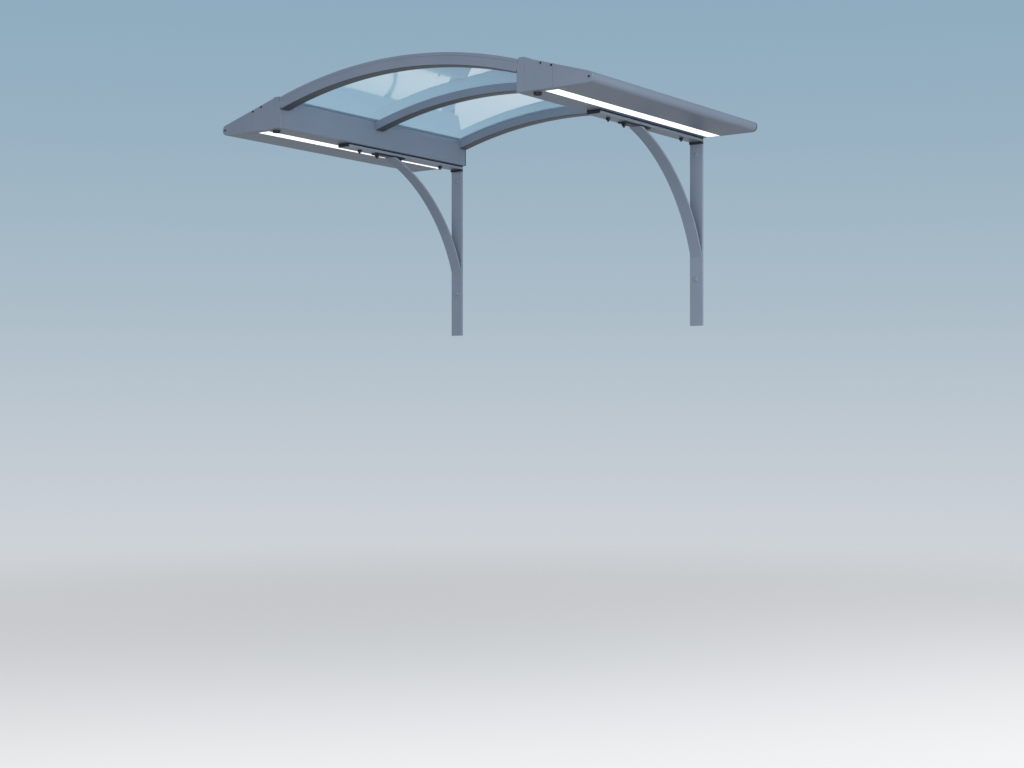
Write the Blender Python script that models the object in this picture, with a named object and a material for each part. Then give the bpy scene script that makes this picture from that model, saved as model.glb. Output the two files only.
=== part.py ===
"""Door canopy on two bar brackets.

Two wide extruded side profiles with a rain gutter, a light channel and a round nose carry three
roller-bent arches and a clear curved sheet. Each side profile is bolted to a bracket that is
made of a rail, a bent brace and a wall post.

Units are metres. +Z is up, +X is to the right and the wall is the plane y = 0, so the canopy
reaches out towards -Y. The origin is the middle of the wall arch's back face. Heights below are
measured from the underside of the side profiles, and the empty canopy_datum lifts them to it.
"""

import math

import bmesh
import bpy
from mathutils import Vector
from mathutils.geometry import delaunay_2d_cdt

# Overall sizes
WIDTH = 1.846
PROJECTION = 1.2136
CLEAR_SPAN = 1.186
CONTACT_GAP = 0.0003

# Curved roof, measured to the underside of the clear sheet
ROOF_RADIUS = 2.117
ROOF_CROWN_Z = 0.197
SHEET_THICKNESS = 0.004
SEAL_THICKNESS = 0.0017
SEAL_INSET = 0.0065
ROOF_STEPS = 14

# Arches, an open channel bent to the roof and closed below by a dark strip
ARCH_DEPTH = 0.047
ARCH_HEIGHT = 0.0335
ARCH_WALL = 0.0025
ARCH_LIP = 0.0075
ARCH_PORT_RADIUS = 0.0020
ARCH_PORT_INSET = 0.0045
ARCH_PORT_HEIGHT = 0.0230
STRIP_THICKNESS = 0.0022
STRIP_LEG = 0.0015
STRIP_HOOK = 0.0016

# Cover profiles that hold the sheet down at the front edge and at the wall
COVER_THICKNESS = 0.003
COVER_FOOT_HEIGHT = 0.003
COVER_FOOT_WIDTH = 0.006
WALL_SEAL_DEPTH = 0.008

# Side profile section
SKIN = 0.0025
NOSE_RADIUS = 0.021
GUTTER_WIDTH = 0.096
LIGHT_WIDTH = 0.058
LIGHT_DEPTH = 0.030
WEB_THICKNESS = 0.002
HOOD_LENGTH = 0.027
SHOULDER_CLEARANCE = 0.0165
HOOD_THICKNESS = 0.003
HOOD_STEP = 0.0038
HOOD_WALL = 0.0055
HOOD_SETBACK = 0.007
SEAT_LENGTH = 0.0145
SEAT_THICKNESS = 0.0025
BAND_HEIGHT = 0.02265
SHEET_GRIP = 0.025
PORT_RADIUS = 0.0019
PORT_BOSS_RADIUS = 0.006
PORT_WALL_DISTANCE = 0.0055
PORT_TOP_DISTANCE = 0.0043
NOSE_PORT_INSET = 0.0145
CLIP_NIB = 0.0008
CLIP_NIB_Z = 0.006
CLIP_NIB_HEIGHT = 0.0015

# Ends of the side profiles
FRONT_CAP_DEPTH = 0.020
FRONT_CAP_PLATE = 0.004
CAP_TONGUE_LENGTH = 0.0165
REAR_CAP_THICKNESS = 0.006
CABLE_HOLE_RADIUS = 0.005
CAP_SCREW_RADIUS = 0.0015
CAP_SCREW_LENGTH = 0.034
CAP_HEAD_RADIUS = 0.0042
CAP_HEAD_HEIGHT = 0.0024
CAP_BOSS_RADIUS = 0.0048

# Light strip in the side profile
DIFFUSER_FACE = 0.0018
DIFFUSER_LEG = 0.0115
DIFFUSER_LEG_THICKNESS = 0.0015
BOARD_WIDTH = 0.012
BOARD_THICKNESS = 0.0015
CHIP_LENGTH = 0.005
CHIP_HEIGHT = 0.0014
CHIP_COUNT = 16

# Gutter outlet
OUTLET_RADIUS = 0.016
OUTLET_DROP = 0.0085
OUTLET_NECK_RADIUS = 0.0142
OUTLET_BORE = 0.0115
OUTLET_INSET = 0.0630
OUTLET_SETBACK = 0.0440
OUTLET_RISE = 0.0035

# Bracket
BAR_WIDTH = 0.060
BRACKET_INSET = 0.047
PAD_THICKNESS = 0.004
RAIL_THICKNESS = 0.0105
RAIL_LENGTH = 0.785
RAIL_WALL = 0.0025
RAIL_CORE = 0.018
RAIL_CAP_THICKNESS = 0.004
RAIL_CAP_PLUG = 0.012
RAIL_BACK_CLEARANCE = 0.0005
POST_THICKNESS = 0.010
POST_LENGTH = 0.7594
TOP_BLOCK_HEIGHT = 0.0095
TOP_BLOCK_DEPTH = 0.018
BRACE_WIDTH = 0.054
BRACE_RADIUS = 0.761
BRACE_THICKNESS = 0.008
BRACE_CENTRE_DROP = 0.744
BRACE_BITE = 0.0405
BRACE_STEPS = 24
BRACE_PLATE_WIDTH = 0.036
BRACE_PLATE_LENGTH = 0.185
BRACE_PLATE_FROM_WALL = 0.400
BRACE_PLATE_THICKNESS = 0.006

# Bracket fasteners, placed by their distance from the wall or from the ends of the brace plate
RAIL_BOLT_FROM_WALL = 0.132
RAIL_BOLT_FROM_FRONT = 0.104
PLATE_BOLT_INSET = 0.016
BOLT_RADIUS = 0.004
BOLT_HOLE_RADIUS = 0.0045
BOLT_HEAD_FLATS = 0.013
BOLT_HEAD_HEIGHT = 0.0053
BOLT_TIP = 0.006
NUT_FLATS = 0.0165
NUT_HEIGHT = 0.009
WALL_SCREW_RADIUS = 0.0038
WALL_SCREW_HOLE_RADIUS = 0.0042
WALL_SCREW_HEAD_RADIUS = 0.0105
WALL_SCREW_HEAD_HEIGHT = 0.0045
UPPER_SCREW_DROP = 0.044
LOWER_SCREW_DROP = 0.565

# Angles behind the feet of the front and middle arches
ANGLE_WALL_LEG = 0.035
ANGLE_ARCH_LEG = 0.025
ANGLE_HEIGHT = 0.0225
ANGLE_THICKNESS = 0.003
ANGLE_RISE = 0.0075

# Sizes that follow from the ones above
INNER_X = CLEAR_SPAN / 2
BRACKET_X = INNER_X + BRACKET_INSET
NOSE_X = WIDTH / 2 - NOSE_RADIUS
GUTTER_IN_X = INNER_X + SKIN
GUTTER_OUT_X = GUTTER_IN_X + GUTTER_WIDTH
LIGHT_IN_X = GUTTER_OUT_X + SKIN
LIGHT_OUT_X = LIGHT_IN_X + LIGHT_WIDTH
CHAMBER_X = LIGHT_OUT_X + SKIN
HOOD_IN_X = INNER_X + HOOD_SETBACK
HOOD_OUT_X = HOOD_IN_X + HOOD_LENGTH
ELBOW_X = HOOD_OUT_X - HOOD_WALL
SHEET_EDGE_X = INNER_X + SHEET_GRIP

ROOF_CENTRE_Z = ROOF_CROWN_Z - ROOF_RADIUS
SHEET_TOP_RADIUS = ROOF_RADIUS + SHEET_THICKNESS
SEAL_OUT_RADIUS = ROOF_RADIUS - CONTACT_GAP
SEAL_IN_RADIUS = SEAL_OUT_RADIUS - SEAL_THICKNESS
ARCH_OUT_RADIUS = SEAL_IN_RADIUS - CONTACT_GAP
ARCH_IN_RADIUS = ARCH_OUT_RADIUS - ARCH_HEIGHT
COVER_FOOT_RADIUS = SHEET_TOP_RADIUS + CONTACT_GAP
COVER_IN_RADIUS = COVER_FOOT_RADIUS + COVER_FOOT_HEIGHT
COVER_OUT_RADIUS = COVER_IN_RADIUS + COVER_THICKNESS

# The upper inner wall leans outward in the plane of the arches' square-cut ends.
BAND_START_Z = ROOF_CENTRE_Z + math.sqrt(ARCH_OUT_RADIUS**2 - INNER_X**2) - BAND_HEIGHT
BAND_ANGLE = math.atan(INNER_X / (BAND_START_Z - ROOF_CENTRE_Z))
ARCH_END_ANGLE = BAND_ANGLE - CONTACT_GAP / ARCH_IN_RADIUS
COVER_END_ANGLE = math.asin((HOOD_IN_X - CONTACT_GAP) / COVER_OUT_RADIUS)
SHEET_END_ANGLE = math.asin(SHEET_EDGE_X / SHEET_TOP_RADIUS)
SEAT_IN_X = ARCH_OUT_RADIUS * math.sin(BAND_ANGLE)
SEAT_OUT_X = SEAT_IN_X + SEAT_LENGTH

FRONT_Y = -PROJECTION
PROFILE_FRONT_Y = FRONT_Y + FRONT_CAP_DEPTH + CONTACT_GAP
PROFILE_BACK_Y = -REAR_CAP_THICKNESS - CONTACT_GAP
DIFFUSER_FRONT_Y = PROFILE_FRONT_Y + CAP_TONGUE_LENGTH + CONTACT_GAP
SHEET_FRONT_Y = FRONT_Y + FRONT_CAP_PLATE + 2 * CONTACT_GAP
SHEET_BACK_Y = PROFILE_BACK_Y
ARCH_FRONTS = {
    "front": FRONT_Y,
    "middle": -PROJECTION / 2 - ARCH_DEPTH / 2,
    "wall": -ARCH_DEPTH,
}

RAIL_TOP_Z = -PAD_THICKNESS - 2 * CONTACT_GAP
RAIL_BOTTOM_Z = RAIL_TOP_Z - RAIL_THICKNESS
BLOCK_TOP_Z = RAIL_BOTTOM_Z - CONTACT_GAP
POST_TOP_Z = BLOCK_TOP_Z - TOP_BLOCK_HEIGHT - CONTACT_GAP
PLATE_TOP_Z = RAIL_BOTTOM_Z - CONTACT_GAP
PLATE_BOTTOM_Z = PLATE_TOP_Z - BRACE_PLATE_THICKNESS
BRACE_TOP_Z = PLATE_BOTTOM_Z - CONTACT_GAP
BRACE_OUT_RADIUS = BRACE_RADIUS + BRACE_THICKNESS
BRACE_CENTRE_Y = BRACE_BITE - POST_THICKNESS - BRACE_RADIUS
BRACE_CENTRE_Z = -BRACE_CENTRE_DROP
PLATE_BACK_Y = -BRACE_PLATE_FROM_WALL
PLATE_FRONT_Y = PLATE_BACK_Y - BRACE_PLATE_LENGTH
RAIL_BOLT_YS = (-RAIL_LENGTH + RAIL_BOLT_FROM_FRONT, -RAIL_BOLT_FROM_WALL)
PLATE_BOLT_YS = (PLATE_FRONT_Y + PLATE_BOLT_INSET, PLATE_BACK_Y - PLATE_BOLT_INSET)
OUTLET_X = INNER_X + OUTLET_INSET
OUTLET_Y = FRONT_Y + OUTLET_SETBACK

SIDES = {"left": -1, "right": 1}
UPRIGHT = math.pi / 2


def clear_scene():
    for old in list(bpy.data.objects):
        bpy.data.objects.remove(old, do_unlink=True)


def make_material(name, colour, roughness, metallic, emission=0.0, alpha=1.0):
    material = bpy.data.materials.new(name)
    material.use_nodes = True
    shader = material.node_tree.nodes["Principled BSDF"]
    shader.inputs["Base Color"].default_value = (*colour, 1.0)
    shader.inputs["Roughness"].default_value = roughness
    shader.inputs["Metallic"].default_value = metallic
    shader.inputs["Emission Color"].default_value = (1.0, 1.0, 1.0, 1.0)
    shader.inputs["Emission Strength"].default_value = emission
    shader.inputs["Alpha"].default_value = alpha
    return material


def place_object(name, bm, material, smooth=False):
    """Turn a closed bmesh into a named object under the canopy's datum."""
    bmesh.ops.recalc_face_normals(bm, faces=bm.faces)
    mesh = bpy.data.meshes.new(name)
    bm.to_mesh(mesh)
    bm.free()
    mesh.materials.append(material)
    if smooth:
        mesh.shade_smooth()
        mesh.set_sharp_from_angle(angle=math.radians(35))
    piece = bpy.data.objects.new(name, mesh)
    bpy.context.scene.collection.objects.link(piece)
    piece.parent = datum
    return piece


def is_inside(point, loops):
    """Whether a point lies in the outline and outside its holes, by counting crossings."""
    crossings = 0
    for loop in loops:
        for start, end in zip(loop, loop[1:] + loop[:1]):
            if (start[1] > point[1]) != (end[1] > point[1]):
                share = (point[1] - start[1]) / (end[1] - start[1])
                crossings += point[0] < start[0] + share * (end[0] - start[0])
    return crossings % 2 == 1


def triangulate(loops):
    """Triangles over an outline with holes, as triples of indices into all its points."""
    points = [Vector(point) for loop in loops for point in loop]
    edges = []
    first = 0
    for loop in loops:
        count = len(loop)
        edges += [(first + i, first + (i + 1) % count) for i in range(count)]
        first += count
    found = delaunay_2d_cdt(points, edges, [], 0, 1e-8, True)
    places, triangles, sources = found[0], found[2], found[3]
    kept = []
    for triangle in triangles:
        middle = sum((places[i] for i in triangle), Vector((0.0, 0.0))) / 3
        if is_inside(middle, loops):
            kept.append([sources[i][0] for i in triangle])
    return kept


def add_profile(bm, loops, stations, place):
    """Sweep a section with holes through the stations. place(u, v, station) gives a point."""
    loops = [list(loop) for loop in loops]
    rows = []
    for station in stations:
        rows.append([[bm.verts.new(place(u, v, station)) for u, v in loop] for loop in loops])
    for row, following in zip(rows, rows[1:]):
        for loop, after in zip(row, following):
            count = len(loop)
            for i in range(count):
                j = (i + 1) % count
                bm.faces.new((loop[i], loop[j], after[j], after[i]))
    for row in (rows[0], rows[-1]):
        ends = [vert for loop in row for vert in loop]
        for triangle in triangulate(loops):
            bm.faces.new([ends[i] for i in triangle])


def add_rings(bm, rings, closed=False):
    """Join rings of points one after another. An open stack is capped, a closed one is a tube."""
    rows = [[bm.verts.new(point) for point in ring] for ring in rings]
    pairs = list(zip(rows, rows[1:]))
    if closed:
        pairs.append((rows[-1], rows[0]))
    for ring, after in pairs:
        count = len(ring)
        for i in range(count):
            j = (i + 1) % count
            bm.faces.new((ring[i], ring[j], after[j], after[i]))
    if not closed:
        bm.faces.new(rows[0])
        bm.faces.new(rows[-1])


def arc(centre, radius, start, end, count):
    """Points on an arc, from the start angle to the end angle, both included."""
    step = (end - start) / (count - 1)
    angles = [start + step * i for i in range(count)]
    return [(centre[0] + radius * math.cos(a), centre[1] + radius * math.sin(a)) for a in angles]


def circle(centre, radius, count):
    return arc(centre, radius, 0.0, 2 * math.pi * (count - 1) / count, count)


def extrude_y(name, loops, y_front, y_back, side, material, smooth=False):
    """A section drawn in x and z, run along y. side = -1 mirrors it to the left."""
    bm = bmesh.new()
    add_profile(bm, loops, (y_front, y_back), lambda x, z, y: (side * x, y, z))
    return place_object(name, bm, material, smooth)


def roof_angles(end):
    """Angles of the roof's stations. All bent pieces share the ones between their ends."""
    shared = [ARCH_END_ANGLE * (2 * i / ROOF_STEPS - 1) for i in range(ROOF_STEPS + 1)]
    return [-end] + [angle for angle in shared if abs(angle) < end - 1e-6] + [end]


def bend_over_roof(name, loops, end, material):
    """A section drawn in y and radius, bent over the roof's arc as far as the end angle."""
    def place(y, r, angle):
        return (r * math.sin(angle), y, ROOF_CENTRE_Z + r * math.cos(angle))

    bm = bmesh.new()
    add_profile(bm, loops, roof_angles(end), place)
    return place_object(name, bm, material, smooth=True)


def band_point(radius, inset):
    """A point in x and z at a distance inwards from the leaning plane of the arches' ends."""
    x = radius * math.sin(BAND_ANGLE) - inset * math.cos(BAND_ANGLE)
    z = ROOF_CENTRE_Z + radius * math.cos(BAND_ANGLE) + inset * math.sin(BAND_ANGLE)
    return (x, z)


def box_loop(u_low, v_low, u_high, v_high):
    return [(u_low, v_low), (u_high, v_low), (u_high, v_high), (u_low, v_high)]


def hexagon(centre, flats):
    """A hexagon with a point at each corner and at the middle of each flat."""
    corner = flats / 2 / math.cos(math.pi / 6)
    points = []
    for i in range(12):
        radius = corner if i % 2 == 0 else flats / 2
        angle = 2 * math.pi * i / 12
        points.append((centre[0] + radius * math.cos(angle), centre[1] + radius * math.sin(angle)))
    return points


def combine(target, helper, operation="DIFFERENCE"):
    """Subtract or add a helper and keep the helper itself out of the model."""
    helper.hide_render = True
    helper.display_type = "WIRE"
    modifier = target.modifiers.new(helper.name, "BOOLEAN")
    modifier.operation = operation
    modifier.object = helper
    modifier.solver = "EXACT"


def upright_cutter(name, places, radius, z_low, z_high, side, material):
    """Upright cylinders through the given (x, y) places, as one helper."""
    bm = bmesh.new()
    for x, y in places:
        ring = circle((side * x, y), radius, 12)
        add_rings(bm, [[(u, v, z_low) for u, v in ring], [(u, v, z_high) for u, v in ring]])
    return place_object(name, bm, material)


def arc_z(x, radius):
    """Height of a roof radius at x."""
    return ROOF_CENTRE_Z + math.sqrt(radius**2 - x**2)


# The top of the side profile runs straight from the hood's shoulder down to the round nose.
SHOULDER_Z = arc_z(HOOD_OUT_X, SHEET_TOP_RADIUS) + SHOULDER_CLEARANCE
HOOD_TOP_Z = SHOULDER_Z + HOOD_STEP
HOOD_LOW_Z = HOOD_TOP_Z - HOOD_THICKNESS
NOSE_DISTANCE = math.hypot(NOSE_X - HOOD_OUT_X, SHOULDER_Z - NOSE_RADIUS)
TOP_SLOPE = math.atan2(SHOULDER_Z - NOSE_RADIUS, NOSE_X - HOOD_OUT_X) - math.asin(
    NOSE_RADIUS / NOSE_DISTANCE
)
TOP_NORMAL = UPRIGHT - TOP_SLOPE


def top_z(x, depth=0.0):
    """Height of the sloping top at x, or of the line at a depth below it."""
    return SHOULDER_Z - (x - HOOD_OUT_X) * math.tan(TOP_SLOPE) - depth / math.cos(TOP_SLOPE)


def corner_port(wall_x, facing):
    """Centre of the screw port under the top, beside an upright wall on the left or right."""
    x = wall_x + facing * PORT_WALL_DISTANCE
    return (x, top_z(x, SKIN + PORT_TOP_DISTANCE))


NOSE_PORT = (WIDTH / 2 - NOSE_PORT_INSET, NOSE_RADIUS)
PORTS = (corner_port(LIGHT_IN_X, 1), corner_port(LIGHT_OUT_X, -1), NOSE_PORT)


def nose_arc(radius, start, end, count):
    return arc((NOSE_X, NOSE_RADIUS), radius, start, end, count)


def closed_outline():
    """Outline of the end caps: the side profile's outside with its light channel filled."""
    seat_z = arc_z(SEAT_IN_X, ARCH_OUT_RADIUS)
    outline = [(INNER_X, 0.0)]
    outline += nose_arc(NOSE_RADIUS, -UPRIGHT, TOP_NORMAL, 12)
    outline += [
        (HOOD_OUT_X, SHOULDER_Z),
        (HOOD_OUT_X, HOOD_TOP_Z),
        (HOOD_IN_X, HOOD_TOP_Z),
        (HOOD_IN_X, seat_z + 0.001),
        (SEAT_IN_X, seat_z),
        (INNER_X, BAND_START_Z),
    ]
    return outline


def seat_underside():
    """The gutter's side of the seat lip and of the leaning band, down to the upright wall."""
    band_out = band_point(ARCH_OUT_RADIUS - SEAT_THICKNESS, -SKIN)
    reach = (GUTTER_IN_X - SKIN * math.cos(BAND_ANGLE)) / math.sin(BAND_ANGLE)
    return [
        (SEAT_OUT_X, arc_z(SEAT_OUT_X, ARCH_OUT_RADIUS) - SEAT_THICKNESS),
        band_out,
        (GUTTER_IN_X, band_point(reach, -SKIN)[1]),
    ]


def gutter_mouth():
    """The walls round the gutter, from the hood's edge to the seat under the sheet."""
    return [
        (HOOD_OUT_X, SHOULDER_Z),
        (HOOD_OUT_X, HOOD_TOP_Z),
        (HOOD_IN_X, HOOD_TOP_Z),
        (HOOD_IN_X, HOOD_LOW_Z),
        (ELBOW_X, HOOD_LOW_Z),
        (ELBOW_X, top_z(ELBOW_X, SKIN)),
        (GUTTER_OUT_X, top_z(GUTTER_OUT_X, SKIN)),
        (GUTTER_OUT_X, SKIN),
        (GUTTER_IN_X, SKIN),
        *reversed(seat_underside()),
        (SEAT_OUT_X, arc_z(SEAT_OUT_X, ARCH_OUT_RADIUS)),
        (SEAT_IN_X, arc_z(SEAT_IN_X, ARCH_OUT_RADIUS)),
        (INNER_X, BAND_START_Z),
    ]


def light_channel():
    """The open channel in the underside, with a nib on each wall for the diffuser's barbs."""
    nib_top_z = CLIP_NIB_Z + CLIP_NIB_HEIGHT
    half = [
        (LIGHT_IN_X, 0.0),
        (LIGHT_IN_X, CLIP_NIB_Z),
        (LIGHT_IN_X + CLIP_NIB, CLIP_NIB_Z),
        (LIGHT_IN_X + CLIP_NIB, nib_top_z),
        (LIGHT_IN_X, nib_top_z),
        (LIGHT_IN_X, LIGHT_DEPTH),
    ]
    return half + [(LIGHT_IN_X + LIGHT_OUT_X - x, z) for x, z in reversed(half)]


def port_chamber():
    """The closed chamber over the light channel, with a rounded port boss in each top corner."""
    beside_wall = math.acos(PORT_WALL_DISTANCE / PORT_BOSS_RADIUS)
    under_top = math.acos(PORT_TOP_DISTANCE / PORT_BOSS_RADIUS)
    in_port, out_port = PORTS[0], PORTS[1]
    floor_z = LIGHT_DEPTH + SKIN
    loop = [(LIGHT_IN_X, floor_z), (LIGHT_OUT_X, floor_z)]
    loop += reversed(
        arc(out_port, PORT_BOSS_RADIUS, TOP_NORMAL + under_top, 2 * math.pi - beside_wall, 8)
    )
    loop += reversed(
        arc(in_port, PORT_BOSS_RADIUS, math.pi + beside_wall, 2 * math.pi + TOP_NORMAL - under_top, 8)
    )
    return loop


def nose_chambers():
    """The three chambers towards the nose. The last web carries a ring for the nose screw."""
    web_x = (CHAMBER_X + NOSE_PORT[0]) / 2
    half_web = WEB_THICKNESS / 2
    spread = math.asin(half_web / CAP_BOSS_RADIUS)
    left_x, right_x = NOSE_PORT[0] - half_web, NOSE_PORT[0] + half_web
    inner = NOSE_RADIUS - SKIN
    low_z = NOSE_RADIUS - math.sqrt(inner**2 - (left_x - NOSE_X) ** 2)
    end = math.acos((right_x - NOSE_X) / inner)
    first = [
        (CHAMBER_X, SKIN),
        (web_x - half_web, SKIN),
        (web_x - half_web, top_z(web_x - half_web, SKIN)),
        (CHAMBER_X, top_z(CHAMBER_X, SKIN)),
    ]
    second = [(web_x + half_web, SKIN), (left_x, low_z)]
    second += reversed(arc(NOSE_PORT, CAP_BOSS_RADIUS, UPRIGHT + spread, 3 * UPRIGHT - spread, 7))
    second.append((left_x, top_z(left_x, SKIN)))
    second.append((web_x + half_web, top_z(web_x + half_web, SKIN)))
    third = nose_arc(inner, -end, end, 9)
    third += reversed(arc(NOSE_PORT, CAP_BOSS_RADIUS, spread - UPRIGHT, UPRIGHT - spread, 7))
    return [first, second, third]


def side_profile_loops():
    outer = [(INNER_X, 0.0)] + light_channel()
    outer += nose_arc(NOSE_RADIUS, -UPRIGHT, TOP_NORMAL, 12)
    outer += gutter_mouth()
    holes = [port_chamber()] + nose_chambers()
    holes += [circle(port, PORT_RADIUS, 8) for port in PORTS]
    return [outer] + holes


clear_scene()
datum = bpy.data.objects.new("canopy_datum", None)
bpy.context.scene.collection.objects.link(datum)
datum.location = (0.0, 0.0, -(ROOF_CENTRE_Z + (ARCH_IN_RADIUS + ARCH_OUT_RADIUS) / 2))

COATED_METAL = make_material("coated_aluminium", (0.148, 0.181, 0.242), 0.42, 0.55)
BAR_METAL = make_material("coated_bar", (0.168, 0.202, 0.262), 0.40, 0.55)
CLEAR_SHEET = make_material("clear_sheet", (0.74, 0.86, 0.95), 0.06, 0.0, alpha=0.25)
GREY_RUBBER = make_material("grey_rubber", (0.24, 0.28, 0.34), 0.75, 0.0)
BLACK_RUBBER = make_material("black_rubber", (0.012, 0.012, 0.014), 0.75, 0.0)
BLACK_PLASTIC = make_material("black_plastic", (0.015, 0.016, 0.019), 0.45, 0.0)
OPAL_PLASTIC = make_material("opal_plastic", (0.92, 0.95, 1.0), 0.35, 0.0, emission=2.0)
LIGHT_BOARD = make_material("light_board", (0.80, 0.80, 0.76), 0.50, 0.0)
DARK_STEEL = make_material("dark_steel", (0.020, 0.021, 0.024), 0.40, 0.8)


def build_side_profile(label, side, bolt_holes):
    profile = extrude_y(
        f"side_profile_{label}", side_profile_loops(), PROFILE_FRONT_Y, PROFILE_BACK_Y,
        side, COATED_METAL,
    )
    combine(profile, bolt_holes)
    combine(profile, upright_cutter(
        f"cut_outlet_{label}", [(OUTLET_X, OUTLET_Y)], OUTLET_NECK_RADIUS + 3 * CONTACT_GAP,
        -SKIN, 2 * SKIN, side, BLACK_PLASTIC,
    ))


def cap_cavity():
    """The hollow behind the front cap's plate. It goes round the two bosses under the top."""
    under_top = math.acos(PORT_TOP_DISTANCE / CAP_BOSS_RADIUS)
    loop = [(GUTTER_IN_X, SKIN)]
    loop += nose_arc(NOSE_RADIUS - SKIN, -UPRIGHT, TOP_NORMAL, 10)
    for port in (PORTS[1], PORTS[0]):
        start = TOP_NORMAL - under_top
        loop += arc(port, CAP_BOSS_RADIUS, start, start - 2 * math.pi + 2 * under_top, 11)
    slot_x = INNER_X - 0.004
    loop += [
        (ELBOW_X, top_z(ELBOW_X, SKIN)),
        (ELBOW_X, HOOD_LOW_Z),
        (slot_x, HOOD_LOW_Z),
        (slot_x, arc_z(slot_x, ARCH_OUT_RADIUS) - 0.0002),
        (SEAT_OUT_X, arc_z(SEAT_OUT_X, ARCH_OUT_RADIUS) - 0.0002),
    ]
    return loop + seat_underside()


def build_front_cap(label, side):
    """A hollow cap. Its tongue closes the light channel's mouth in front of the diffuser."""
    holes = [circle(port, CAP_SCREW_RADIUS + CONTACT_GAP, 8) for port in PORTS]
    cap = extrude_y(
        f"front_end_cap_{label}", [closed_outline()] + holes, FRONT_Y, FRONT_Y + FRONT_CAP_DEPTH,
        side, COATED_METAL,
    )
    combine(cap, extrude_y(
        f"cut_cap_{label}", [cap_cavity(), circle(NOSE_PORT, CAP_BOSS_RADIUS, 12)],
        FRONT_Y + FRONT_CAP_PLATE, FRONT_Y + FRONT_CAP_DEPTH + SKIN, side, COATED_METAL,
    ))
    tongue = box_loop(
        LIGHT_IN_X + CONTACT_GAP, 0.0, LIGHT_OUT_X - CONTACT_GAP, CLIP_NIB_Z - CONTACT_GAP
    )
    combine(cap, extrude_y(
        f"tongue_{label}", [tongue], FRONT_Y + FRONT_CAP_DEPTH - SKIN,
        PROFILE_FRONT_Y + CAP_TONGUE_LENGTH, side, COATED_METAL,
    ), "UNION")


def build_rear_cap(label, side):
    """A flat black cap that also seals against the wall, with a hole for the light's cable."""
    hole = circle(((LIGHT_IN_X + LIGHT_OUT_X) / 2, LIGHT_DEPTH / 2), CABLE_HOLE_RADIUS, 16)
    extrude_y(
        f"rear_end_cap_{label}", [closed_outline(), hole], -REAR_CAP_THICKNESS, 0.0,
        side, BLACK_PLASTIC,
    )


def add_screw(bm, place, head_radius, head_height, shank_radius, length, count):
    """A pan-head screw. place(u, v, depth) gives a point, with the depth counted inwards."""
    stack = (
        (head_radius * 0.72, -head_height),
        (head_radius, -head_height * 0.45),
        (head_radius, 0.0),
        (shank_radius, 0.0),
        (shank_radius, length * 0.9),
        (shank_radius * 0.4, length),
    )
    rings = []
    for radius, depth in stack:
        rings.append([place(u, v, depth) for u, v in circle((0.0, 0.0), radius, count)])
    add_rings(bm, rings)


def build_cap_screws(label, side):
    """Three pan-head screws that hold the front cap to the side profile's ports."""
    for place_name, (x, z) in zip(("inner", "outer", "nose"), PORTS):
        bm = bmesh.new()
        add_screw(
            bm, lambda u, v, depth: (side * x + u, FRONT_Y - CONTACT_GAP + depth, z + v),
            CAP_HEAD_RADIUS, CAP_HEAD_HEIGHT, CAP_SCREW_RADIUS, CAP_SCREW_LENGTH, 8,
        )
        place_object(f"cap_screw_{place_name}_{label}", bm, DARK_STEEL, smooth=True)


def build_light(label, side):
    """The opal diffuser clips over nibs in the channel, and the board sits on its ceiling."""
    wall_x = LIGHT_IN_X + CONTACT_GAP
    leg_x = LIGHT_IN_X + CLIP_NIB + CONTACT_GAP
    nib_top_z = CLIP_NIB_Z + CLIP_NIB_HEIGHT
    half = [
        (wall_x, 0.0),
        (wall_x, CLIP_NIB_Z - CONTACT_GAP),
        (leg_x, CLIP_NIB_Z - CONTACT_GAP),
        (leg_x, nib_top_z + CONTACT_GAP),
        (wall_x, nib_top_z + CONTACT_GAP),
        (leg_x, DIFFUSER_LEG),
        (leg_x + DIFFUSER_LEG_THICKNESS, DIFFUSER_LEG),
        (leg_x + DIFFUSER_LEG_THICKNESS, DIFFUSER_FACE),
    ]
    other = [(LIGHT_IN_X + LIGHT_OUT_X - x, z) for x, z in reversed(half)]
    extrude_y(
        f"diffuser_{label}", [half + other], DIFFUSER_FRONT_Y, PROFILE_BACK_Y, side, OPAL_PLASTIC
    )

    ceiling_z = LIGHT_DEPTH - CONTACT_GAP
    board_z = ceiling_z - BOARD_THICKNESS
    front_y, back_y = DIFFUSER_FRONT_Y, PROFILE_BACK_Y - 0.012
    pitch = (back_y - front_y) / CHIP_COUNT
    outline = [(front_y, ceiling_z), (front_y, board_z)]
    for i in range(CHIP_COUNT):
        chip_y = front_y + pitch * (i + 0.5) - CHIP_LENGTH / 2
        outline += [
            (chip_y, board_z),
            (chip_y, board_z - CHIP_HEIGHT),
            (chip_y + CHIP_LENGTH, board_z - CHIP_HEIGHT),
            (chip_y + CHIP_LENGTH, board_z),
        ]
    outline += [(back_y, board_z), (back_y, ceiling_z)]
    middle_x = (LIGHT_IN_X + LIGHT_OUT_X) / 2
    stations = (middle_x - BOARD_WIDTH / 2, middle_x + BOARD_WIDTH / 2)
    bm = bmesh.new()
    add_profile(bm, [outline], stations, lambda y, z, x: (side * x, y, z))
    place_object(f"light_board_{label}", bm, LIGHT_BOARD)


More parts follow.
